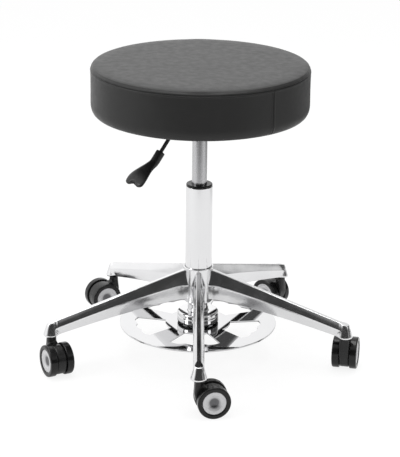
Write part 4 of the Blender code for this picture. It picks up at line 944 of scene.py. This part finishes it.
def swollen_pad():
    """The pad after its cover has filled out: a pad with a flatter crown, remeshed, whose cloth swells under
    pressure while the seam and the underside hold it. No point moves more than the cap."""
    outline = np.concatenate([seat_profile(crown_loss), [(0, seat_bottom)]])
    points, faces, loops, coats = skin(turned(outline, 160), (False, True))
    data = bpy.data.meshes.new("pad")
    data.from_pydata(points.tolist(), [], faces.tolist())
    seal(data)
    pad = bpy.data.objects.new("pad", data)
    scene.collection.objects.link(pad)
    remesh = pad.modifiers.new("remesh", "REMESH")
    remesh.mode = "VOXEL"
    remesh.voxel_size = voxel
    cover = bpy.data.meshes.new_from_object(pad.evaluated_get(bpy.context.evaluated_depsgraph_get()))
    pad.modifiers.clear()
    pad.data = cover
    rest = np.empty(len(cover.vertices) * 3, np.float32)
    cover.vertices.foreach_get("co", rest)
    rest = rest.reshape(-1, 3)
    at_edge = np.hypot(rest[:, 0], rest[:, 1]) > seat_radius - held_edge
    at_seam = at_edge & (np.abs(rest[:, 2] - seam_height) < held_seam)
    held = np.flatnonzero(at_seam | (rest[:, 2] < seat_bottom + held_foot))
    pad.vertex_groups.new(name="held").add(held.tolist(), 1.0, "REPLACE")
    cloth = pad.modifiers.new("cloth", "CLOTH")
    cloth.settings.use_pressure = True
    cloth.settings.uniform_pressure_force = pressure
    cloth.settings.vertex_group_mass = "held"
    cloth.settings.effector_weights.gravity = 0
    cloth.point_cache.frame_start, cloth.point_cache.frame_end = 1, cloth_frames
    for step in range(1, cloth_frames + 1):
        scene.frame_set(step)
    grown = pad.evaluated_get(bpy.context.evaluated_depsgraph_get()).data
    full = np.empty(len(rest) * 3, np.float32)
    grown.vertices.foreach_get("co", full)
    move = full.reshape(-1, 3) - rest
    size = np.linalg.norm(move, axis=1, keepdims=True)
    pad.modifiers.clear()
    scene.frame_set(1)
    capped = rest + move * np.minimum(1, swell_cap / np.maximum(size, 1e-9))
    cover.vertices.foreach_set("co", capped.ravel())
    smooth = pad.modifiers.new("smooth", "SUBSURF")
    smooth.levels = smooth.render_levels = 1
    return pad


def wrapped(points, pad):
    """The grid's points moved to the nearest place on the pad."""
    data = bpy.data.meshes.new("cover")
    data.from_pydata(points.reshape(-1, 3).tolist(), [], [])
    cover = bpy.data.objects.new("cover", data)
    scene.collection.objects.link(cover)
    wrap = cover.modifiers.new("wrap", "SHRINKWRAP")
    wrap.wrap_method = "NEAREST_SURFACEPOINT"
    wrap.target = pad
    moved = np.empty(points.size, np.float32)
    cover.evaluated_get(bpy.context.evaluated_depsgraph_get()).data.vertices.foreach_get("co", moved)
    bpy.data.objects.remove(cover)
    bpy.data.objects.remove(pad)
    return moved.reshape(points.shape).astype(float)


def seam_shape(distance, depth):
    """Height of a seam's section: a narrow groove between two soft lips,
    -d exp(-(x/w)^2) + l exp(-((|x|-b)/c)^2)."""
    dip = np.exp(-((distance / groove_width) ** 2))
    lips = np.exp(-(((np.abs(distance) - lip_place) / lip_width) ** 2))
    return seam_lip * lips - depth * dip


cover_points, outline_run, seam_run, cover_angles = cushion_grid()
outline_end = outline_run[-1]
moved = wrapped(cover_points, swollen_pad()) - cover_points
for smoothing in range(6):
    moved = (np.roll(moved, 1, 1) + 2 * moved + np.roll(moved, -1, 1)) / 4
    moved[1:-1] = (moved[:-2] + 2 * moved[1:-1] + moved[2:]) / 4
    moved[0] = moved[1].mean(0)
loose = 1 - ease(outline_run, outline_end - 0.020, outline_end - 0.006)
cover_points = cover_points + moved * loose[:, None, None]

from_seam = outline_run - seam_run
outward = np.stack([np.cos(cover_angles), np.sin(cover_angles), 0 * cover_angles], -1)
pucker = pucker_height * np.sin(17 * cover_angles) * np.sin(41 * cover_angles + 1)
near_seam = np.exp(-((from_seam / pucker_reach) ** 2))
ring = seam_shape(from_seam, ring_depth)[:, None] + pucker * near_seam[:, None]
below = ease(from_seam, 0.0010, 0.0040) * (1 - ease(outline_run, outline_end - 0.012, outline_end))
upright = seam_shape(seat_radius * (cover_angles - seam_angle), upright_depth) * below[:, None]
cover_points = cover_points + (ring + upright)[..., None] * outward
recess_profile = ((recess_radius, seat_bottom), (recess_radius, recess_top), (0, recess_top))
recess = carried_round(recess_profile, cover_angles)

leatherette = finish("seat_leatherette", (0.0280, 0.0280, 0.0277), 0.40, specular=0.2)
tint(leatherette, pattern(leatherette, 0.05), (0.0250, 0.0250, 0.0247), (0.0310, 0.0310, 0.0307))
sway(leatherette, pattern(leatherette, 0.012), "Roughness", 0.36, 0.44)
relief(leatherette, pattern(leatherette, 0.04), 0.00025)
relief(leatherette, pattern(leatherette, 0.0016, kind="ShaderNodeTexVoronoi"), 0.00008, 0.6)
cover_skin = skin(np.concatenate([cover_points, recess]), (False, True))
cushion = piece(
    "cushion_leatherette", [cover_skin], [leatherette], "seat", "leatherette", "seat_cushion", sharp=50
)
